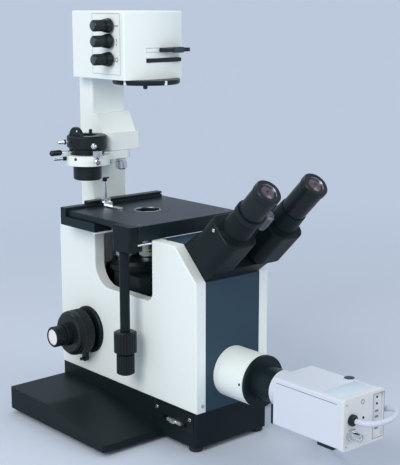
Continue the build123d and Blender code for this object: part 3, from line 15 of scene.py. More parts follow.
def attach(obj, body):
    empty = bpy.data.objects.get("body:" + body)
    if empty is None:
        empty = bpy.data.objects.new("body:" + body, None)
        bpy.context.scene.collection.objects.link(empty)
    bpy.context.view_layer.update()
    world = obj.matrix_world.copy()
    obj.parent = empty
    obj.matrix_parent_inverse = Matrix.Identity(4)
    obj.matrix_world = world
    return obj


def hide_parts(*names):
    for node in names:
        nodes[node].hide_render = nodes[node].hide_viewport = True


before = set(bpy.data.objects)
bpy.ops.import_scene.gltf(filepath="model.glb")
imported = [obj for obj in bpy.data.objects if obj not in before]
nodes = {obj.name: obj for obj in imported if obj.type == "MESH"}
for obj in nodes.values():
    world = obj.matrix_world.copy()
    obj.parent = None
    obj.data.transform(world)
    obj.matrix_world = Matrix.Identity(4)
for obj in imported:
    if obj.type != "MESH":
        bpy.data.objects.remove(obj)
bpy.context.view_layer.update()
scene = bpy.context.scene

# %% [markdown]
# ## The camera
# A product picture is taken with a long lens so that upright edges stay upright. The place and the
# turn of this camera were worked out from the straight edges of the stand: it looks a little down
# from the front left. A lens of about 100 mm on a 36 mm frame gives the mild perspective.

# %% Camera
camera_data = bpy.data.cameras.new("studio_camera")
camera_data.sensor_fit = "HORIZONTAL"
camera_data.sensor_width = 36.0
camera_data.lens = 101.37
camera_data.clip_end = 20.0
camera = bpy.data.objects.new("studio_camera", camera_data)
camera.location = (-0.8344, -0.9239, 0.50205)
camera.rotation_euler = (math.radians(78.251), 0.0, math.radians(-41.174))
scene.collection.objects.link(camera)
scene.camera = camera
scene.view_settings.view_transform = "Standard"
print("camera at", tuple(camera.location))

# %% [markdown]
# ## Materials from small helpers
# Every finish is a Principled shader with its own nodes for grain and tone. Real paint is never one
# flat number: its gloss varies a little, and its surface has a fine texture that breaks reflections.
# A Bevel node rounds the look of sharp edges, as paint and machining do.


# %% Node helpers
def start_finish(name):
    """A new material with its node tree emptied down to the output and a Principled shader."""
    material = bpy.data.materials.new(name)
    material.use_nodes = True
    tree = material.node_tree
    return material, tree, tree.nodes["Principled BSDF"]


def add_node(tree, kind, **settings):
    """A node of a kind, with its properties set by name."""
    node = tree.nodes.new(kind)
    for key, value in settings.items():
        setattr(node, key, value)
    return node


def noise(tree, coordinates, scale, detail=2.0, roughness=0.5):
    """A noise texture on object coordinates; scale is in repeats per metre."""
    node = add_node(tree, "ShaderNodeTexNoise")
    node.inputs["Scale"].default_value = scale
    node.inputs["Detail"].default_value = detail
    node.inputs["Roughness"].default_value = roughness
    tree.links.new(coordinates, node.inputs["Vector"])
    return node.outputs["Fac"]


def spread(tree, value, low, high):
    """Map a 0 to 1 texture value onto a range."""
    node = add_node(tree, "ShaderNodeMapRange")
    node.inputs["From Min"].default_value = 0.3
    node.inputs["From Max"].default_value = 0.7
    node.inputs["To Min"].default_value = low
    node.inputs["To Max"].default_value = high
    tree.links.new(value, node.inputs["Value"])
    return node.outputs["Result"]


def two_tones(tree, value, first, second):
    """A colour that moves between two tones with a texture value."""
    node = add_node(tree, "ShaderNodeMix", data_type="RGBA")
    node.inputs["A"].default_value = (*first, 1.0)
    node.inputs["B"].default_value = (*second, 1.0)
    tree.links.new(value, node.inputs["Factor"])
    return node.outputs["Result"]


def relief(tree, shader, value, depth, edge_radius):
    """Bump from a texture value over a softly rounded edge."""
    edge = add_node(tree, "ShaderNodeBevel", samples=4)
    edge.inputs["Radius"].default_value = edge_radius
    bump = add_node(tree, "ShaderNodeBump")
    bump.inputs["Strength"].default_value = 1.0
    bump.inputs["Distance"].default_value = depth
    tree.links.new(value, bump.inputs["Height"])
    tree.links.new(edge.outputs["Normal"], bump.inputs["Normal"])
    tree.links.new(bump.outputs["Normal"], shader.inputs["Normal"])


def painted(name, tone, second_tone, gloss, grain, depth, edge_radius=0.0006, coat=0.0, specular=0.5):
    """Paint or moulded plastic: two close tones, a range of roughness and a fine grain."""
    material, tree, shader = start_finish(name)
    place = add_node(tree, "ShaderNodeTexCoord").outputs["Object"]
    broad = noise(tree, place, 14.0, 3.0)
    fine = noise(tree, place, grain, 3.0, 0.6)
    tree.links.new(two_tones(tree, broad, tone, second_tone), shader.inputs["Base Color"])
    tree.links.new(spread(tree, fine, gloss[0], gloss[1]), shader.inputs["Roughness"])
    shader.inputs["Specular IOR Level"].default_value = specular
    shader.inputs["Coat Weight"].default_value = coat
    shader.inputs["Coat Roughness"].default_value = 0.12
    relief(tree, shader, fine, depth, edge_radius)
    return material


# %% Paints and plastics
white_enamel = painted("white_enamel", (0.80, 0.87, 0.87), (0.84, 0.90, 0.90), (0.46, 0.56), 900.0, 0.00002,
                       coat=0.04)
black_enamel = painted("black_enamel", (0.005, 0.011, 0.013), (0.008, 0.015, 0.018), (0.38, 0.52), 1400.0,
                       0.00005, specular=0.15)
slate_enamel = painted("slate_enamel", (0.018, 0.046, 0.075), (0.022, 0.054, 0.086), (0.42, 0.58), 1400.0,
                       0.00005, specular=0.3)
stage_black = painted("stage_black", (0.006, 0.014, 0.018), (0.009, 0.018, 0.023), (0.30, 0.42), 1600.0,
                      0.00003, specular=0.2)
moulded_black = painted("moulded_black", (0.005, 0.010, 0.012), (0.008, 0.013, 0.016), (0.32, 0.44), 1100.0,
                        0.00003, edge_radius=0.0004, specular=0.3)
camera_grey = painted("camera_grey", (0.64, 0.69, 0.80), (0.68, 0.73, 0.84), (0.42, 0.52), 1300.0, 0.00003)
bezel_cream = painted("bezel_cream", (0.68, 0.70, 0.72), (0.72, 0.74, 0.76), (0.42, 0.52), 1300.0, 0.00003)
foot_rubber = painted("foot_rubber", (0.010, 0.010, 0.011), (0.016, 0.016, 0.017), (0.70, 0.85), 500.0,
                      0.00008)
cable_jacket = painted("cable_jacket", (0.55, 0.57, 0.72), (0.60, 0.62, 0.76), (0.36, 0.46), 700.0, 0.00003)
grey_print = painted("grey_print", (0.20, 0.23, 0.27), (0.24, 0.27, 0.31), (0.45, 0.55), 900.0, 0.00001)
disc_white = painted("disc_white", (0.80, 0.79, 0.84), (0.84, 0.83, 0.88), (0.25, 0.35), 700.0, 0.00001,
                     coat=0.2)
knob_cap = painted("knob_cap", (0.045, 0.055, 0.075), (0.055, 0.065, 0.085), (0.30, 0.42), 700.0, 0.00002)
# Painted shade: this near-black paints the shade inside slots and seams, and small dark screws share it.
slot_shade_and_dark_screws = painted("slot_shade_and_dark_screws", (0.006, 0.007, 0.009), (0.009, 0.010, 0.012), (0.70, 0.85), 500.0,
                      0.00001)
label_bare = painted("label_bare", (0.56, 0.68, 0.78), (0.60, 0.72, 0.81), (0.40, 0.50), 900.0, 0.00001)
eye_lens_coat = painted("eye_lens_coat", (0.06, 0.035, 0.055), (0.10, 0.06, 0.08), (0.08, 0.15), 80.0, 0.0,
                        coat=0.5)
# Black for small screws, and painted shade in the eye pupil, which stands for the dark inside of the tube.
screw_black_and_pupil_shade = painted("screw_black_and_pupil_shade", (0.006, 0.004, 0.008), (0.010, 0.007, 0.012), (0.12, 0.22), 200.0, 0.0,
                      coat=0.6)
band_yellow = painted("band_yellow", (0.72, 0.52, 0.04), (0.76, 0.56, 0.06), (0.35, 0.45), 900.0, 0.00001)
band_blue = painted("band_blue", (0.03, 0.16, 0.48), (0.04, 0.19, 0.52), (0.35, 0.45), 900.0, 0.00001)
band_red = painted("band_red", (0.44, 0.03, 0.02), (0.48, 0.04, 0.03), (0.35, 0.45), 900.0, 0.00001)
band_green = painted("band_green", (0.04, 0.28, 0.08), (0.05, 0.32, 0.10), (0.35, 0.45), 900.0, 0.00001)
white_print = painted("white_print", (0.78, 0.80, 0.82), (0.84, 0.86, 0.88), (0.45, 0.55), 900.0, 0.00001)


# %% [markdown]
# ## Metals and glass
# Turned steel and satin chrome show fine rings from the lathe; a stretched noise bumps them. Lens
# glass is a dielectric with a tint that stands for its coating.


# %% Metals and glass
def turned_metal(name, tone, gloss, grain):
    """Bright machined metal with a fine stretched grain."""
    material, tree, shader = start_finish(name)
    place = add_node(tree, "ShaderNodeTexCoord").outputs["Object"]
    stretch = add_node(tree, "ShaderNodeMapping")
    stretch.inputs["Scale"].default_value = (1.0, 1.0, 6.0)
    tree.links.new(place, stretch.inputs["Vector"])
    fine = noise(tree, stretch.outputs["Vector"], grain, 4.0)
    darker = tuple(0.8 * part for part in tone)
    tree.links.new(two_tones(tree, fine, tone, darker), shader.inputs["Base Color"])
    tree.links.new(spread(tree, fine, gloss[0], gloss[1]), shader.inputs["Roughness"])
    shader.inputs["Metallic"].default_value = 1.0
    relief(tree, shader, fine, 0.00001, 0.0003)
    return material


def clear_glass(name, tone, rough):
    """Optical glass with a faint coating tint."""
    material, tree, shader = start_finish(name)
    place = add_node(tree, "ShaderNodeTexCoord").outputs["Object"]
    haze = noise(tree, place, 60.0, 2.0)
    tree.links.new(spread(tree, haze, rough, rough + 0.03), shader.inputs["Roughness"])
    shader.inputs["Base Color"].default_value = (*tone, 1.0)
    shader.inputs["Transmission Weight"].default_value = 0.9
    shader.inputs["IOR"].default_value = 1.5
    return material


steel = turned_metal("turned_steel", (0.62, 0.64, 0.66), (0.22, 0.34), 900.0)
chrome = turned_metal("satin_chrome", (0.78, 0.80, 0.82), (0.14, 0.24), 700.0)
mirror = turned_metal("silvered_mirror", (0.88, 0.90, 0.90), (0.02, 0.05), 300.0)
satin_silver = turned_metal("satin_silver", (0.88, 0.89, 0.90), (0.45, 0.55), 700.0)
# Dark metal; on the objectives it is painted shade, for the shade they sit in behind the column.
dark_metal_and_objective_shade = turned_metal("dark_metal_objective_shade", (0.30, 0.31, 0.33), (0.28, 0.38), 900.0)
lens_glass = clear_glass("lens_glass", (0.80, 0.92, 0.95), 0.02)
print("materials", len(bpy.data.materials))

# %% [markdown]
# ## One solid, two finishes
# Some solids hold a bright screw in a painted part. Their material looks at the object's own
# coordinates: a place farther than a reach from the part's upright axis belongs to the screw, and gets
# metal instead of paint.


# %% Two finishes on one solid
def beyond(tree, place, centre, reach):
    """1 where a place is farther than a reach from an upright axis, and 0 elsewhere."""
    moved = add_node(tree, "ShaderNodeVectorMath", operation="SUBTRACT")
    moved.inputs[1].default_value = (*centre, 0.0)
    tree.links.new(place, moved.inputs[0])
    flat = add_node(tree, "ShaderNodeVectorMath", operation="MULTIPLY")
    flat.inputs[1].default_value = (1.0, 1.0, 0.0)
    tree.links.new(moved.outputs["Vector"], flat.inputs[0])
    distance = add_node(tree, "ShaderNodeVectorMath", operation="LENGTH")
    tree.links.new(flat.outputs["Vector"], distance.inputs[0])
    test = add_node(tree, "ShaderNodeMath", operation="GREATER_THAN")
    test.inputs[1].default_value = reach
    tree.links.new(distance.outputs["Value"], test.inputs[0])
    return test.outputs["Value"]


def below_value(tree, place, axis, limit):
    """1 where one coordinate is under a limit, and 0 elsewhere."""
    parts = add_node(tree, "ShaderNodeSeparateXYZ")
    tree.links.new(place, parts.inputs["Vector"])
    test = add_node(tree, "ShaderNodeMath", operation="LESS_THAN")
    test.inputs[1].default_value = limit
    tree.links.new(parts.outputs[axis], test.inputs[0])
    return test.outputs["Value"]


def both(tree, first, second, invert=False):
    """The product of two masks, or the first without the second."""
    node = add_node(tree, "ShaderNodeMath", operation="MULTIPLY")
    tree.links.new(first, node.inputs[0])
    if invert:
        flip = add_node(tree, "ShaderNodeMath", operation="SUBTRACT")
        flip.inputs[0].default_value = 1.0
        tree.links.new(second, flip.inputs[1])
        second = flip.outputs["Value"]
    tree.links.new(second, node.inputs[1])
    return node.outputs["Value"]


def split_finish(name, tone, gloss, specular, find_mask):
    """Paint of one tone, and bright metal where the mask is 1."""
    material, tree, shader = start_finish(name)
    place = add_node(tree, "ShaderNodeTexCoord").outputs["Object"]
    mask = find_mask(tree, place)
    fine = noise(tree, place, 1000.0, 3.0, 0.6)
    tree.links.new(two_tones(tree, mask, tone, (0.78, 0.80, 0.82)), shader.inputs["Base Color"])
    rough = add_node(tree, "ShaderNodeMix")
    tree.links.new(mask, rough.inputs["Factor"])
    tree.links.new(spread(tree, fine, gloss[0], gloss[1]), rough.inputs["A"])
    tree.links.new(spread(tree, fine, 0.16, 0.26), rough.inputs["B"])
    tree.links.new(rough.outputs["Result"], shader.inputs["Roughness"])
    tree.links.new(mask, shader.inputs["Metallic"])
    shader.inputs["Specular IOR Level"].default_value = specular
    relief(tree, shader, fine, 0.00002, 0.0005)
    return material


condenser_middle = (-0.051, 0.1777)
arm_finish = split_finish("arm_enamel", (0.80, 0.87, 0.87), (0.44, 0.54), 0.5, lambda tree, place: both(
    tree, beyond(tree, place, condenser_middle, 0.0272), below_value(tree, place, "Y", 0.163)))
body_finish = split_finish("condenser_black", (0.005, 0.011, 0.013), (0.30, 0.42), 0.3,
                           lambda tree, place: beyond(tree, place, condenser_middle, 0.0245))
lever_finish = split_finish("lever_black", (0.005, 0.010, 0.012), (0.32, 0.44), 0.3, lambda tree, place: both(
    tree, beyond(tree, place, condenser_middle, 0.0217), below_value(tree, place, "X", -0.0887), invert=True))
print("split finishes", 3)

# %% [markdown]
# ## Dressing the solids
# Each solid takes one finish. A table of names keeps this readable: the enamel castings, the black
# fittings, the bright metal and the optics.

# %% Assign finishes
finishes = {
    white_enamel: ["left_panel", "right_panel", "rear_cover", "pillar", "lamp_housing", "condenser_bracket",
                   "photo_port"],
    arm_finish: ["condenser_arm"],
    body_finish: ["condenser_body"],
    lever_finish: ["aperture_lever"],
    black_enamel: ["nosepiece_carrier", "base_casting", "head_base", "left_prism_housing",
                   "right_prism_housing", "focus_guide", "focus_flanges", "drive_column", "turret"],
    slate_enamel: ["front_cover"],
    stage_black: ["stage_plate", "stage_insert", "y_carriage", "port_adapter", "field_diaphragm",
                  "phase_plate"],
    moulded_black: ["left_coarse_knob", "right_coarse_knob", "fine_shaft", "stage_y_knob", "stage_x_knob",
                    "top_lamp_knob", "middle_lamp_knob", "bottom_lamp_knob", "left_eyepiece",
                    "right_eyepiece", "dioptre_ring", "mains_inlet", "power_switch", "cable_gland",
                    "lower_filter_tray", "upper_filter_tray", "tension_lever", "cable_plug"],
    camera_grey: ["video_camera"],
    bezel_cream: ["camera_back_panel"],
    foot_rubber: ["feet"],
    steel: ["coarse_shaft"],
    chrome: ["specimen_holder", "video_socket", "arm_clamp_knob"],
    satin_silver: ["path_slider"],
    # The objectives' dark metal is painted shade for the shade behind the column.
    dark_metal_and_objective_shade: ["objectives", "eye_distance_dial"],
    mirror: ["path_mirror"],
    lens_glass: ["lamp", "collector_lens", "condenser_lens"],
    cable_jacket: ["camera_cable", "cable_coil"],
}


def dress(node, material):
    """Give every slot of a solid one material."""
    slots = node.data.materials
    slots.clear()
    slots.append(material)


for material, names in finishes.items():
    for name in names:
        dress(nodes[name], material)
dressed = {name for names in finishes.values() for name in names}
print("not dressed:", sorted(set(nodes) - dressed))

# %% [markdown]
# ## The camera's cable
# The cable is one smooth line: out of the gland, round behind the camera, down to the bench and into
# a neat put-away coil of two layers, then up onto the coil where its plug lies. A NURBS spline of
# order three through listed control points gives curves without kinks.

# %% Cable route
cable_points = [
    (-0.019, -0.2283, 0.089),
    (-0.019, -0.2383, 0.089),
    (-0.012, -0.2473, 0.090),
    (0.002, -0.2523, 0.0915),
    (0.018, -0.2493, 0.0925),
    (0.031, -0.2393, 0.092),
    (0.039, -0.2243, 0.088),
    (0.043, -0.2063, 0.080),
    (0.047, -0.1843, 0.065),
    (0.053, -0.1583, 0.043),
    (0.062, -0.1313, 0.020),
    (0.074, -0.1033, 0.007),
    (0.086, -0.0763, 0.0032),
]
coil_x, coil_y = 0.132, -0.0413
layer_heights = (0.0032, 0.0093)
turn_step = 20
# Each stretch of the coil: the angle where it ends, its radius and its layer
coil_stretches = ((320, 0.039, 0), (680, 0.033, 0), (980, 0.027, 0), (1280, 0.027, 1), (1640, 0.033, 1),
                  (1880, 0.039, 1))
shift_angle = 40


def coil_place(angle):
    """Radius and height of the coil at a winding angle, easing between stretches."""
    radius, height = coil_stretches[0][1], layer_heights[0]
    for stretch, following in zip(coil_stretches, coil_stretches[1:]):
        if angle > stretch[0]:
            share = min(1.0, (angle - stretch[0]) / shift_angle)
            radius = stretch[1] + share * (following[1] - stretch[1])
            low, high = layer_heights[stretch[2]], layer_heights[following[2]]
            height = low + share * (high - low)
    return radius, height


for angle in range(0, 1901, turn_step):
    radius, height = coil_place(angle)
    heading = math.radians(180 - angle)
    cable_points.append((coil_x + radius * math.cos(heading), coil_y + radius * math.sin(heading), height))
for angle, rise in ((60, 0.0105), (45, 0.014), (30, 0.0175)):
    heading = math.radians(angle)
    cable_points.append((coil_x + 0.039 * math.cos(heading), coil_y + 0.039 * math.sin(heading), rise))
cable_points.append((0.1713, -0.0237, 0.0184))
cable_points.append((0.1686, -0.0312, 0.0184))

curve = bpy.data.curves.new("camera_cable_curve", "CURVE")
curve.dimensions = "3D"
curve.bevel_depth = 0.003
curve.bevel_resolution = 5
curve.resolution_u = 6
curve.use_fill_caps = True
spline = curve.splines.new("NURBS")
spline.points.add(len(cable_points) - 1)
for point, place in zip(spline.points, cable_points):
    point.co = (*place, 1.0)
spline.order_u = 3
spline.use_endpoint_u = True
cable = bpy.data.objects.new("camera_cable_run", curve)
scene.collection.objects.link(cable)
curve.materials.append(cable_jacket)
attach(cable, "stand")
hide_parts("camera_cable", "cable_coil")
print("cable points", len(cable_points))

# %% [markdown]
# ## Making pieces with mesh operators
# Most small parts of an instrument are either turned on a lathe, milled from a block or knurled. So
# three helpers are enough: a profile that is spun, a cube that is scaled and bevelled, and a ring of
# ribs that is extruded. Each helper leaves its shape about the origin, and one more puts it in place.


# %% Shape helpers
def lathe(points, steps=40, ring=False):
    """A turned shape about Z from (radius, height) points; a ring profile is closed on itself."""
    shape = bmesh.new()
    verts = [shape.verts.new((radius, 0.0, height)) for radius, height in points]
    pairs = list(zip(verts, verts[1:])) + ([(verts[-1], verts[0])] if ring else [])
    edges = [shape.edges.new(pair) for pair in pairs]
    bmesh.ops.spin(shape, geom=verts + edges, axis=(0, 0, 1), cent=(0, 0, 0), dvec=(0, 0, 0),
                   angle=math.tau, steps=steps, use_merge=True, use_duplicate=False)
    bmesh.ops.remove_doubles(shape, verts=shape.verts, dist=1e-6)
    return shape


def block(size, edge=0.0004, segments=2):
    """A block with rounded edges, centred on the origin."""
    shape = bmesh.new()
    bmesh.ops.create_cube(shape, size=1.0)
    bmesh.ops.scale(shape, vec=size, verts=shape.verts)
    bmesh.ops.bevel(shape, geom=shape.edges[:], offset=edge, offset_type="OFFSET", segments=segments,
                    profile=0.5, affect="EDGES", material=-1)
    return shape


def ribbed_sleeve(radius, inner, height, ribs, depth):
    """A grip sleeve: its outer wall steps between two radii, its inner wall is plain."""
    shape = bmesh.new()
    outer = bmesh.ops.create_circle(shape, segments=4 * ribs, radius=radius)["verts"]
    for index, vert in enumerate(outer):
        if index % 4 > 1:
            vert.co *= (radius - depth) / radius
    bmesh.ops.create_circle(shape, segments=4 * ribs, radius=inner)
    floor_ring = bmesh.ops.bridge_loops(shape, edges=shape.edges[:])["faces"]
    raised = bmesh.ops.extrude_face_region(shape, geom=floor_ring)["geom"]
    raised_verts = [item for item in raised if isinstance(item, bmesh.types.BMVert)]
    bmesh.ops.translate(shape, vec=(0, 0, height), verts=raised_verts)
    return shape


def frame_plate(outer, inner, thickness, shift=(0.0, 0.0)):
    """A flat plate in X and Y with a rectangular window, made from a grid with its middle left out."""
    shape = bmesh.new()
    bmesh.ops.create_grid(shape, x_segments=3, y_segments=3, size=1.5)
    columns = (-outer[0] / 2, shift[0] - inner[0] / 2, shift[0] + inner[0] / 2, outer[0] / 2)
    rows = (-outer[1] / 2, shift[1] - inner[1] / 2, shift[1] + inner[1] / 2, outer[1] / 2)
    for vert in shape.verts:
        vert.co.x = columns[round(vert.co.x + 1.5)]
        vert.co.y = rows[round(vert.co.y + 1.5)]
    window = Vector((shift[0], shift[1], 0.0))
    middle_face = min(shape.faces, key=lambda face: (face.calc_center_median() - window).length)
    bmesh.ops.delete(shape, geom=[middle_face], context="FACES")
    raised = bmesh.ops.extrude_face_region(shape, geom=shape.faces[:])["geom"]
    bmesh.ops.translate(shape, vec=(0, 0, thickness),
                        verts=[item for item in raised if isinstance(item, bmesh.types.BMVert)])
    return shape


# %% Placing helpers
def facing(place, axis):
    """The transform that puts Z along an axis at a place."""
    turn = Vector(axis).to_track_quat("Z", "Y").to_matrix().to_4x4()
    return Matrix.Translation(place) @ turn


def piece(name, shape, material, body, transform=None):
    """Finish a shape as a scene piece: normals outwards, smooth faces with crisp edges, riding a body."""
    if transform is not None:
        bmesh.ops.transform(shape, matrix=transform, verts=shape.verts)
    bmesh.ops.recalc_face_normals(shape, faces=shape.faces)
    mesh = bpy.data.meshes.new(name)
    shape.to_mesh(mesh)
    shape.free()
    mesh.shade_smooth()
    mesh.set_sharp_from_angle(angle=math.radians(32))
    made = bpy.data.objects.new(name, mesh)
    scene.collection.objects.link(made)
    mesh.materials.append(material)
    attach(made, body)
    return made


def screw(name, place, axis, radius, body, material, height=0.0009):
    """A small socket-head screw whose head stands a little proud."""
    head = [(0, height * 0.3), (radius * 0.45, height * 0.3), (radius * 0.5, height * 0.9),
            (radius * 0.8, height), (radius, height * 0.7), (radius, -0.0004), (0, -0.0004)]
    return piece(name, lathe(head, 20), material, body, facing(place, axis))


left, right, front, back, up = (-1, 0, 0), (1, 0, 0), (0, -1, 0), (0, 1, 0), (0, 0, 1)
axis_y = 0.1267
print("helpers ready")

# %% [markdown]
# ## Focus knobs
# The drum of a coarse focus knob is knurled so that a fingertip can roll it, and the fine knob has a
# plain white disc in its end. The solid drum is smooth, so a ribbed sleeve closes round it here.

# %% Focus knobs
focus_y, focus_z = axis_y + 0.048, 0.1017
drum_reach, fine_knob_reach = 0.0668, 0.1088
for side_name, side in (("left", -1), ("right", 1)):
    drum_place = facing((side * drum_reach, focus_y, focus_z), (side, 0, 0))
    piece(side_name + "_drum_ribs", ribbed_sleeve(0.0276, 0.0266, 0.0095, 90, 0.0005), moulded_black,
          "coarse_focus", drum_place)
    front_rings = [(0.0266, 0.0118), (0.0274, 0.0122), (0.0274, 0.0140), (0.0268, 0.0144), (0.0268, 0.0150),
                   (0.0273, 0.0154), (0.0270, 0.0166), (0.0262, 0.0172), (0.0258, 0.0168), (0.0258, 0.0118)]
    piece(side_name + "_drum_rings", lathe(front_rings, 72, ring=True), moulded_black, "coarse_focus",
          drum_place)
    disc_place = facing((side * fine_knob_reach, focus_y, focus_z), (side, 0, 0))
    disc = [(0, 0.0009), (0.0075, 0.0008), (0.0096, 0.0005), (0.0098, 0.0), (0, 0.0)]
    piece(side_name + "_fine_disc", lathe(disc, 48), disc_white, "fine_focus", disc_place)
print("focus knob pieces", 6)

# %% [markdown]
# ## Nosepiece
# The turret's rim is knurled for turning by hand. Each objective carries a thin coloured band that
# tells its power, and a knurled ring near its shoulder where it is screwed in.

# %% Turret rim and objective bands
turret_y, turret_low = axis_y + 0.020, 0.1779
piece("turret_grip", ribbed_sleeve(0.0344, 0.0335, 0.0060, 96, 0.0005), moulded_black, "revolver",
      facing((0, turret_y, turret_low), up))
objective_base, objective_circle = 0.1893, 0.020
objective_lengths = (0.045, 0.047, 0.030, 0.040)
band_finishes = (band_yellow, band_blue, band_red, band_green)
for index, (length, band_finish) in enumerate(zip(objective_lengths, band_finishes)):
    angle = math.radians(-90 + 90 * index)
    foot = (objective_circle * math.cos(angle), turret_y + objective_circle * math.sin(angle), objective_base)
    band_low = 0.30 * length
    band = [(0.0102, band_low), (0.01062, band_low + 0.0002), (0.01062, band_low + 0.0014),
            (0.0102, band_low + 0.0016)]
    piece("objective_band_%d" % index, lathe(band, 40, ring=True), band_finish, "revolver", facing(foot, up))
    piece("objective_grip_%d" % index, ribbed_sleeve(0.0107, 0.0100, 0.0045, 44, 0.0003), steel, "revolver",
          facing((foot[0], foot[1], objective_base + 0.16 * length), up))
print("objectives", len(objective_lengths))

# %% [markdown]
# ## Eyepieces
# Looking into an eyepiece shows a black rim, a thin dark satin ring and the eye lens, whose coating
# looks brown and violet round a dark pupil, a black disc of painted shade for the dark inside of the tube.
# Three turned pieces sit in the dished end of each solid.

# %% Eye lenses
slope = math.sqrt(0.5)
head_low = (axis_y - 0.14178, 0.20762)
tube_axis = (0, -slope, slope)
eyepiece_offset, eyepiece_end = 0.035, 0.144


def head_place(across, along):
    """A place on the head, across and along the tilted axis."""
    return (across, head_low[0] - along * slope, head_low[1] + along * slope)


for side_name, side, body in (("left", -1, "left_tube"), ("right", 1, "right_tube")):
    lens_seat = facing(head_place(side * eyepiece_offset, eyepiece_end), tube_axis)
    rim = [(0.0090, -0.0032), (0.0102, -0.0032), (0.0104, -0.0010), (0.0100, -0.0008), (0.0092, -0.0022)]
    piece(side_name + "_lens_ring", lathe(rim, 64, ring=True), dark_metal_and_objective_shade, body, lens_seat)
    lens = [(0, -0.0008), (0.0030, -0.0010), (0.0060, -0.0016), (0.0082, -0.0025), (0.0086, -0.0032),
            (0, -0.0032)]
    piece(side_name + "_eye_lens", lathe(lens, 48), eye_lens_coat, body, lens_seat)
    # The pupil is a black disc of painted shade for the dark inside of the tube.
    pupil = [(0, -0.0003), (0.0016, -0.0004), (0.0027, -0.0008), (0.0028, -0.0013), (0, -0.0013)]
    piece(side_name + "_eye_pupil_shade", lathe(pupil, 32), screw_black_and_pupil_shade, body, lens_seat)
    groove = [(0.0150, 0.0), (0.01535, 0.0002), (0.01535, 0.0008), (0.0150, 0.0010)]
    piece(side_name + "_eyepiece_bead", lathe(groove, 64, ring=True), moulded_black, body,
          facing(head_place(side * eyepiece_offset, 0.1375), tube_axis))
print("eye lenses at height", round(head_place(0, eyepiece_end)[2], 4))

# %% Head fittings
piece("dial_grip", ribbed_sleeve(0.0068, 0.0062, 0.0150, 36, 0.0004), dark_metal_and_objective_shade, "dial",
      facing(head_place(0, 0.0785), tube_axis))
screw("left_housing_screw", (-0.0575, -0.0575, 0.2622), left, 0.0021, "left_tube", chrome)
screw("right_housing_screw", (0.0575, -0.0575, 0.2622), right, 0.0021, "right_tube", chrome)
for side_name, side in (("left", -1), ("right", 1)):
    screw("head_base_screw_" + side_name, head_place(side * 0.0407, 0.012), (side, 0, 0), 0.0022, "stand",
          moulded_black)
print("head fittings", 5)

# %% [markdown]
# ## Lamp housing
# A thin groove frames the control panel on the housing's left side, with three plain marks beside the
# knobs: a bar, two dashes and a ring. The panel's frame stays clear of the knob shafts.

# %% Control panel
housing_side, marks_y = -0.044, 0.1252
side_turn = Matrix.Translation((housing_side, 0.1457, 0.4500)) @ Matrix.Rotation(math.radians(-90), 4, "Y")
piece("control_panel_edge", frame_plate((0.0700, 0.0540), (0.0692, 0.0532), 0.0001), grey_print, "stand",
      side_turn)
piece("bar_mark", block((0.0003, 0.0058, 0.0012), 0.0001), grey_print, "stand",
      Matrix.Translation((housing_side - 0.0001, marks_y, 0.4710)))
for index, height in enumerate((0.4548, 0.4498)):
    piece("dash_mark_%d" % index, block((0.0003, 0.0012, 0.0030), 0.0001), grey_print, "stand",
          Matrix.Translation((housing_side - 0.0001, marks_y, height)))
ring_mark = [(0.0018, -0.0001), (0.0027, -0.0001), (0.0027, 0.0002), (0.0018, 0.0002)]
piece("ring_mark", lathe(ring_mark, 32, ring=True), grey_print, "stand",
      facing((housing_side, marks_y, 0.4325), left))
for name, body, height in (("top", "top_knob", 0.4714), ("middle", "middle_knob", 0.4537),
                           ("bottom", "bottom_knob", 0.4330)):
    cap = [(0, 0.0002), (0.0040, 0.0002), (0.0049, 0.0), (0.0049, -0.0004), (0, -0.0004)]
    piece(name + "_knob_cap", lathe(cap, 32), knob_cap, body,
          facing((-0.0700, axis_y + 0.0095, height), left))
print("control panel pieces", 8)

# %% [markdown]
# ## Filter trays
# The upper tray's front is a white cover that follows the curve of the housing, so only its black
# grip shows. A block is cut into slices and its front is pushed back along the same arc.

# %% Tray cover and grip lug
housing_face = axis_y - 0.0216
housing_curve = 3.526
tray_cover_height = 0.4431
cover = bmesh.new()
bmesh.ops.create_cube(cover, size=1.0)
bmesh.ops.scale(cover, vec=(0.0186, 0.0028, 0.0044), verts=cover.verts)
bmesh.ops.translate(cover, vec=(-0.00635, housing_face + 0.0014, tray_cover_height), verts=cover.verts)
long_edges = [edge for edge in cover.edges if abs(edge.verts[0].co.x - edge.verts[1].co.x) > 0.01]
bmesh.ops.subdivide_edges(cover, edges=long_edges, cuts=12, use_grid_fill=True)
for vert in cover.verts:
    if vert.co.y < housing_face + 0.001:
        vert.co.y = housing_face + housing_curve * vert.co.x ** 2
piece("upper_tray_cover", cover, white_enamel, "upper_tray")
piece("upper_tray_lug", block((0.0150, 0.0060, 0.0066), 0.0012, 3), slate_enamel, "upper_tray",
      Matrix.Translation((0.0235, housing_face - 0.0094, tray_cover_height)))
piece("lower_tray_lug", block((0.0120, 0.0016, 0.0034), 0.0005, 3), slate_enamel, "lower_tray",
      Matrix.Translation((0.0225, housing_face + 0.0010, 0.4313)))
dial_mark_reach = 0.0385
for index, angle in enumerate((-93.0, -167.0)):
    heading = math.radians(angle)
    mark_place = (dial_mark_reach * math.cos(heading), axis_y + dial_mark_reach * math.sin(heading), 0.4036)
    mark = [(0, 0), (0.0020, 0), (0.0022, 0.0002), (0.0022, 0.0050), (0, 0.0050)]
    piece("diaphragm_mark_%d" % index, lathe(mark, 20), white_print, "diaphragm", facing(mark_place, up))
print("tray pieces", 5)

# %% Cooling slots on the housing's right side
# Each slot is a thin dark block, painted shade for the inside of an opening.
for index in range(7):
    slot_place = Matrix.Translation((0.04395, 0.1450 + 0.0090 * index, 0.4500))
    piece("cooling_slot_%d" % index, block((0.0004, 0.0028, 0.0420), 0.00015), slot_shade_and_dark_screws, "stand",
          slot_place)
print("cooling slots", 7)

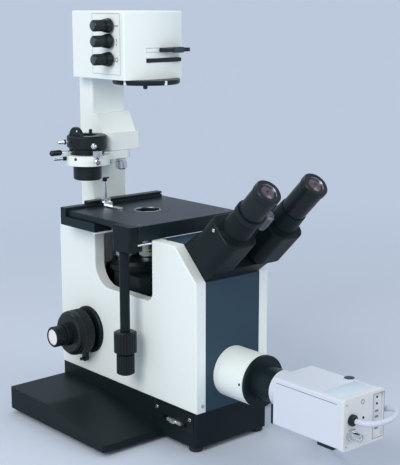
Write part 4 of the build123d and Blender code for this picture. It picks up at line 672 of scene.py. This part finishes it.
# %% [markdown]
# ## Condenser
# The condenser's ring carries two dark grub screws and a knurled clamp nut, and bright adjusting
# screws stand out from its body. They are small turned parts, each with its own stem and grip.

# %% Condenser fittings
def round_condenser(angle, reach, height):
    """A place and outward axis at an angle round the condenser."""
    heading = math.radians(angle)
    outwards = Vector((math.cos(heading), math.sin(heading), 0))
    return Vector((*condenser_middle, height)) + outwards * reach, outwards


for index, angle in enumerate((-156.0, -99.0)):
    place, outwards = round_condenser(angle, 0.0270, 0.3155)
    screw("ring_grub_screw_%d" % index, place, outwards, 0.0018, "condenser", screw_black_and_pupil_shade, 0.0005)
nut_place = round_condenser(-99.0, 0.0274, 0.3190)[0]
piece("ring_clamp_nut", ribbed_sleeve(0.0056, 0.0010, 0.0066, 18, 0.0006), chrome, "condenser",
      facing(nut_place, up))
place, outwards = round_condenser(170.0, 0.0240, 0.3350)
pin = [(0, -0.0012), (0.0016, -0.0012), (0.0016, 0.0062), (0.0027, 0.0064), (0.0027, 0.0130),
       (0.0021, 0.0138), (0, 0.0138)]
piece("body_pin", lathe(pin, 28), chrome, "condenser", facing(place, outwards))
collar = [(0.0014, 0.0043), (0.0031, 0.0044), (0.0031, 0.0058), (0.0014, 0.0059)]
piece("body_pin_collar", lathe(collar, 28, ring=True), moulded_black, "condenser", facing(place, outwards))
place, outwards = round_condenser(166.0, 0.0268, 0.3150)
clamp = [(0, -0.001), (0.0014, -0.001), (0.0014, 0.0062), (0.0021, 0.0066), (0.0021, 0.0156),
         (0.0014, 0.0164), (0, 0.0164)]
piece("ring_clamp_screw", lathe(clamp, 28), chrome, "condenser", facing(place, outwards))
tip = [(0.0012, 0.0002), (0.0025, 0.0005), (0.0025, 0.0040), (0.0012, 0.0043)]
piece("ring_clamp_collar", lathe(tip, 28, ring=True), moulded_black, "condenser", facing(place, outwards))
print("condenser fittings", 7)

# %% Filter wheel mark, top button and stop screw
wheel_mark = [(0, 0.00015), (0.0010, 0.00015), (0.0012, 0.00005), (0.0012, -0.0003), (0, -0.0003)]
piece("wheel_mark", lathe(wheel_mark, 20), white_print, "phase", facing((-0.0695, 0.1722, 0.3480), left))
button = [(0, 0.0048), (0.0016, 0.0046), (0.0021, 0.0038), (0.0019, 0.0), (0, 0.0)]
piece("body_button", lathe(button, 24), moulded_black, "condenser", facing((-0.0360, 0.1910, 0.3419), up))
stop = [(0, 0.0), (0.0012, 0.0), (0.0012, 0.0020), (0.0022, 0.0022), (0.0022, 0.0048), (0.0016, 0.0054),
        (0, 0.0054)]
piece("arm_stop_screw", lathe(stop, 24), chrome, "condenser", facing((-0.0200, 0.1712, 0.3111), (0, 0, -1)))
print("condenser marks", 3)

# %% [markdown]
# ## Stage
# A bright edge strip is fixed under the cross carriage, a polished rod ties the drive bracket to the
# stand, and the specimen holder's rod ends in a small black hook.

# %% Stage fittings
piece("carriage_edge_strip", block((0.0376, 0.0030, 0.0024), 0.0005, 3), disc_white, "carriage",
      Matrix.Translation((-0.0608, 0.1276, 0.2329)))
stage_top = 0.2518
rod_profile = [(0, 0), (0.0011, 0), (0.0014, 0.0004), (0.0014, 0.0206), (0.0011, 0.0210), (0, 0.0210)]
piece("bracket_rod", lathe(rod_profile, 24), chrome, "stand", facing((-0.0762, 0.0500, 0.2306), right))
cap = [(0, 0.0018), (0.0020, 0.0016), (0.0028, 0.0008), (0.0028, -0.0030), (0, -0.0030)]
piece("holder_cap", lathe(cap, 28), moulded_black, "holder", facing((-0.0255, 0.1779, 0.2860), up))
piece("holder_hook", block((0.0060, 0.0020, 0.0018), 0.0005, 3), moulded_black, "holder",
      Matrix.Translation((-0.0222, 0.1779, 0.2868)))
window_rim = [(0.0150, 0.0), (0.0150, 0.0004), (0.0158, 0.0004), (0.0162, 0.0001), (0.0162, -0.0004),
              (0.0154, -0.0010)]
piece("window_rim", lathe(window_rim, 64, ring=True), steel, "stand", facing((0, axis_y, stage_top), up))
for index, (x, y) in enumerate(((-0.066, 0.058), (0.066, 0.058), (0.066, 0.176))):
    screw("stage_screw_%d" % index, (x, y, stage_top), up, 0.0021, "stand", screw_black_and_pupil_shade, 0.0003)
print("stage fittings", 8)

# %% [markdown]
# ## Photo port and video camera
# The port has a grub screw near its end. The camera sits on a black bracket under its lens mount, whose
# blocks also paint the shade in the gap between the mount ring and the camera. Its back has a recess with
# small setting controls, a knurled nut behind the video socket and a bare plate on top.

# %% Photo port and camera fittings
screw("port_grub_screw", (-0.0293, -0.0685, 0.0875), left, 0.0016, "stand", screw_black_and_pupil_shade, 0.0003)
# The bracket's black blocks also paint the shade in the gap between the mount ring and the camera.
bracket_and_gap_shade_y = -0.1204
for name, size, place in (("bracket_and_gap_shade_left", (0.0088, 0.0036, 0.0215), (-0.0256, bracket_and_gap_shade_y, 0.0686)),
                          ("bracket_and_gap_shade_right", (0.0088, 0.0036, 0.0215), (0.0256, bracket_and_gap_shade_y, 0.0686)),
                          ("bracket_and_gap_shade_foot", (0.0424, 0.0036, 0.0076), (0.0, bracket_and_gap_shade_y, 0.0617))):
    piece("camera_" + name, block(size, 0.0005), moulded_black, "stand", Matrix.Translation(place))
piece("camera_tripod_plate", block((0.0440, 0.0220, 0.0042), 0.0008, 3), moulded_black, "stand",
      Matrix.Translation((-0.0060, -0.1950, 0.0555)))
plug_top = [(0, 0.0004), (0.0044, 0.0004), (0.0056, 0.0002), (0.0056, -0.0004), (0, -0.0004)]
piece("camera_top_plug", lathe(plug_top, 32), slate_enamel, "stand", facing((0.0250, -0.1793, 0.1121), up))
piece("camera_top_plate", block((0.0500, 0.0240, 0.0004), 0.0001), label_bare, "stand",
      Matrix.Translation((0.0, -0.1990, 0.1105)))
# Each seam is a thin dark strip, painted shade for the inside of a groove.
for name, x in (("left", -0.0300), ("right", 0.0300)):
    piece("camera_seam_" + name, block((0.0003, 0.0860, 0.0005), 0.0001), slot_shade_and_dark_screws, "stand",
          Matrix.Translation((x, -0.1690, 0.1050)))
print("camera fittings", 9)

# %% Camera back
back_y, recess_x = -0.2223, 0.0220
socket_x, socket_z = -0.0200, 0.0735
for index, height in enumerate((0.1030, 0.0960)):
    screw("camera_trim_%d" % index, (recess_x, back_y + 0.0025, height), front, 0.0012, "stand", slot_shade_and_dark_screws,
          0.0008)
for index in range(4):
    piece("camera_switch_%d" % index, block((0.0046, 0.0010, 0.0020), 0.0002), grey_print, "stand",
          Matrix.Translation((recess_x, back_y + 0.0022, 0.0880 - 0.0062 * index)))
piece("camera_recess_edge", frame_plate((0.0176, 0.0486), (0.0166, 0.0476), 0.0002), grey_print, "stand",
      facing((recess_x, back_y, 0.0840), front))
ring_print = [(0.0020, -0.0001), (0.0026, -0.0001), (0.0026, 0.0003), (0.0020, 0.0003)]
piece("camera_ring_mark", lathe(ring_print, 32, ring=True), grey_print, "stand",
      facing((-0.0030, back_y, 0.1045), front))
screw("camera_back_screw", (-0.0015, back_y, 0.0872), front, 0.0014, "stand", slot_shade_and_dark_screws, 0.0005)
piece("socket_nut", ribbed_sleeve(0.0068, 0.0046, 0.0030, 24, 0.0005), chrome, "stand",
      facing((socket_x, back_y - 0.0014, socket_z), front))
insulator = [(0.0012, 0.0), (0.0034, 0.0), (0.0034, 0.0050), (0.0012, 0.0050)]
piece("socket_insulator", lathe(insulator, 24, ring=True), white_print, "stand",
      facing((socket_x, back_y - 0.0072, socket_z), front))
for index, height in enumerate((0.106, 0.062)):
    screw("camera_corner_screw_%d" % index, (-0.027, back_y, height), front, 0.0013, "stand", steel, 0.0003)
print("camera back pieces", 13)

# %% [markdown]
# ## Screws, plates and the rear
# Sheet covers are held by plain machine screws. The light path slider runs in a framed plate, and the
# rear has cooling slots, a bare plate and the two marks of its rocker switch.

# %% Stand screws and slider plate
cover_front, panel_side = -0.0263, 0.0550
for side_name, side in (("left", -1), ("right", 1)):
    screw(side_name + "_edge_screw", (side * 0.0455, cover_front, 0.0545), front, 0.0022, "stand", steel)
    screw(side_name + "_edge_screw_high", (side * 0.0480, cover_front, 0.1860), front, 0.0018, "stand",
          white_enamel, 0.0004)
    screw(side_name + "_top_screw", (side * 0.0430, 0.0345, 0.2338), up, 0.0018, "stand", steel, 0.0006)
    for index, y in enumerate((0.0426, -0.0155)):
        screw(side_name + "_plinth_screw_%d" % index, (side * panel_side, y, 0.0377), (side, 0, 0), 0.0023,
              "stand", chrome, 0.0011)
    for index, (y, height) in enumerate(((-0.010, 0.058), (0.222, 0.058), (0.222, 0.222))):
        screw(side_name + "_panel_screw_%d" % index, (side * panel_side, y, height), (side, 0, 0), 0.0020,
              "stand", white_enamel, 0.0003)
slider_turn = Matrix.Translation((-panel_side, 0.0136, 0.0330)) @ Matrix.Rotation(math.radians(-90), 4, "Y")
slider_plate = frame_plate((0.0220, 0.0700), (0.0062, 0.0430), 0.0006, (-0.0040, -0.0029))
piece("slider_plate", slider_plate, moulded_black, "stand", slider_turn)
print("screws and plate", 17)

# %% Rear of the stand
rear_y, switch_x = axis_y + 0.1076, 0.0200
# Each rear slot is a thin dark block, painted shade for the inside of an opening.
for index in range(8):
    piece("rear_slot_%d" % index, block((0.0440, 0.0004, 0.0022), 0.0001), slot_shade_and_dark_screws, "stand",
          Matrix.Translation((0.0, rear_y, 0.1480 + 0.0070 * index)))
piece("rear_plate", block((0.0460, 0.0004, 0.0200), 0.0001), label_bare, "stand",
      Matrix.Translation((0.0, rear_y, 0.1130)))
for index, (x, height) in enumerate(((-0.034, 0.054), (0.034, 0.054), (-0.034, 0.226), (0.034, 0.226))):
    screw("rear_screw_%d" % index, (x, rear_y, height), back, 0.0021, "stand", steel, 0.0006)
piece("switch_bar_mark", block((0.0004, 0.0004, 0.0026), 0.0001), white_print, "switch",
      Matrix.Translation((switch_x, rear_y + 0.0015, 0.0704)))
ring_print = [(0.0009, -0.0002), (0.0013, -0.0002), (0.0013, 0.0002), (0.0009, 0.0002)]
piece("switch_ring_mark", lathe(ring_print, 24, ring=True), white_print, "switch",
      facing((switch_x, rear_y + 0.0015, 0.0632), back))
print("rear pieces", 15)

# %% [markdown]
# ## Floor and light
# A plain pale floor with three broad soft lamps, as in a product studio. The key lamp stands on the
# left, so that the wide side panel is the brightest face, and the fill lamp lights the front. The far
# floor fades into the backdrop, so that no horizon crosses the picture.


# %% Floor and world
backdrop_tone = (0.50, 0.58, 0.72, 1.0)
fade_start, fade_end = 0.45, 1.6


def seen_rays(tree):
    """1 for camera, glossy and transmission rays, which see the backdrop's own tone."""
    path = add_node(tree, "ShaderNodeLightPath")
    total = path.outputs["Is Camera Ray"]
    for name in ("Is Glossy Ray", "Is Transmission Ray"):
        larger = add_node(tree, "ShaderNodeMath", operation="MAXIMUM")
        tree.links.new(total, larger.inputs[0])
        tree.links.new(path.outputs[name], larger.inputs[1])
        total = larger.outputs["Value"]
    return total


def fade_to_backdrop(material):
    """Blend the far floor into the backdrop's tone, so that no horizon shows."""
    tree = material.node_tree
    shader = tree.nodes["Principled BSDF"]
    place = add_node(tree, "ShaderNodeTexCoord").outputs["Object"]
    distance = add_node(tree, "ShaderNodeVectorMath", operation="LENGTH")
    tree.links.new(place, distance.inputs[0])
    fade = add_node(tree, "ShaderNodeMapRange", interpolation_type="SMOOTHSTEP")
    fade.inputs["From Min"].default_value = fade_start
    fade.inputs["From Max"].default_value = fade_end
    tree.links.new(distance.outputs["Value"], fade.inputs["Value"])
    share = add_node(tree, "ShaderNodeMath", operation="MULTIPLY")
    tree.links.new(fade.outputs["Result"], share.inputs[0])
    tree.links.new(seen_rays(tree), share.inputs[1])
    glow = add_node(tree, "ShaderNodeEmission")
    glow.inputs["Color"].default_value = backdrop_tone
    blend = add_node(tree, "ShaderNodeMixShader")
    tree.links.new(share.outputs["Value"], blend.inputs["Fac"])
    tree.links.new(shader.outputs["BSDF"], blend.inputs[1])
    tree.links.new(glow.outputs["Emission"], blend.inputs[2])
    tree.links.new(blend.outputs["Shader"], tree.nodes["Material Output"].inputs["Surface"])


def pale_floor():
    """A large pale plane that keeps the object's shadow and fades into the backdrop far away."""
    mesh = bpy.data.meshes.new("studio_floor")
    shape = bmesh.new()
    bmesh.ops.create_grid(shape, x_segments=1, y_segments=1, size=6.0)
    shape.to_mesh(mesh)
    shape.free()
    floor = bpy.data.objects.new("studio_floor", mesh)
    scene.collection.objects.link(floor)
    paper = painted("floor_paper", (0.55, 0.62, 0.74), (0.56, 0.63, 0.75), (0.8, 0.9), 40.0, 0.0,
                    specular=0.2)
    fade_to_backdrop(paper)
    mesh.materials.append(paper)
    return floor


def pale_world():
    """A soft sky whose seen colour is pale while its light on the object stays mild."""
    world = bpy.data.worlds.new("studio_world")
    scene.world = world
    world.use_nodes = True
    tree = world.node_tree
    tree.nodes.clear()
    lit = add_node(tree, "ShaderNodeBackground")
    lit.inputs["Color"].default_value = (0.88, 0.94, 1.0, 1.0)
    lit.inputs["Strength"].default_value = 0.55
    backdrop = add_node(tree, "ShaderNodeBackground")
    backdrop.inputs["Color"].default_value = backdrop_tone
    backdrop.inputs["Strength"].default_value = 1.0
    choose = add_node(tree, "ShaderNodeMixShader")
    tree.links.new(seen_rays(tree), choose.inputs["Fac"])
    tree.links.new(lit.outputs["Background"], choose.inputs[1])
    tree.links.new(backdrop.outputs["Background"], choose.inputs[2])
    output = add_node(tree, "ShaderNodeOutputWorld")
    tree.links.new(choose.outputs["Shader"], output.inputs["Surface"])


def soft_lamp(name, place, target, size, power, tone):
    """A square soft box that points at a target."""
    data = bpy.data.lights.new(name, "AREA")
    data.shape = "SQUARE"
    data.size = size
    data.energy = power
    data.color = tone
    lamp = bpy.data.objects.new(name, data)
    lamp.location = place
    lamp.rotation_euler = (Vector(target) - Vector(place)).to_track_quat("-Z", "Y").to_euler()
    scene.collection.objects.link(lamp)


pale_floor()
pale_world()
middle = (0.0, 0.0, 0.22)
soft_lamp("key_lamp", (-1.8, -0.6, 1.35), middle, 1.1, 29.0, (1.0, 0.97, 0.90))
soft_lamp("fill_lamp", (0.9, -1.7, 1.1), middle, 1.4, 12.0, (1.0, 0.98, 0.94))
soft_lamp("top_lamp", (0.2, 0.9, 1.9), middle, 1.2, 8.0, (1.0, 0.99, 0.96))
print("lamps", len(bpy.data.lights))
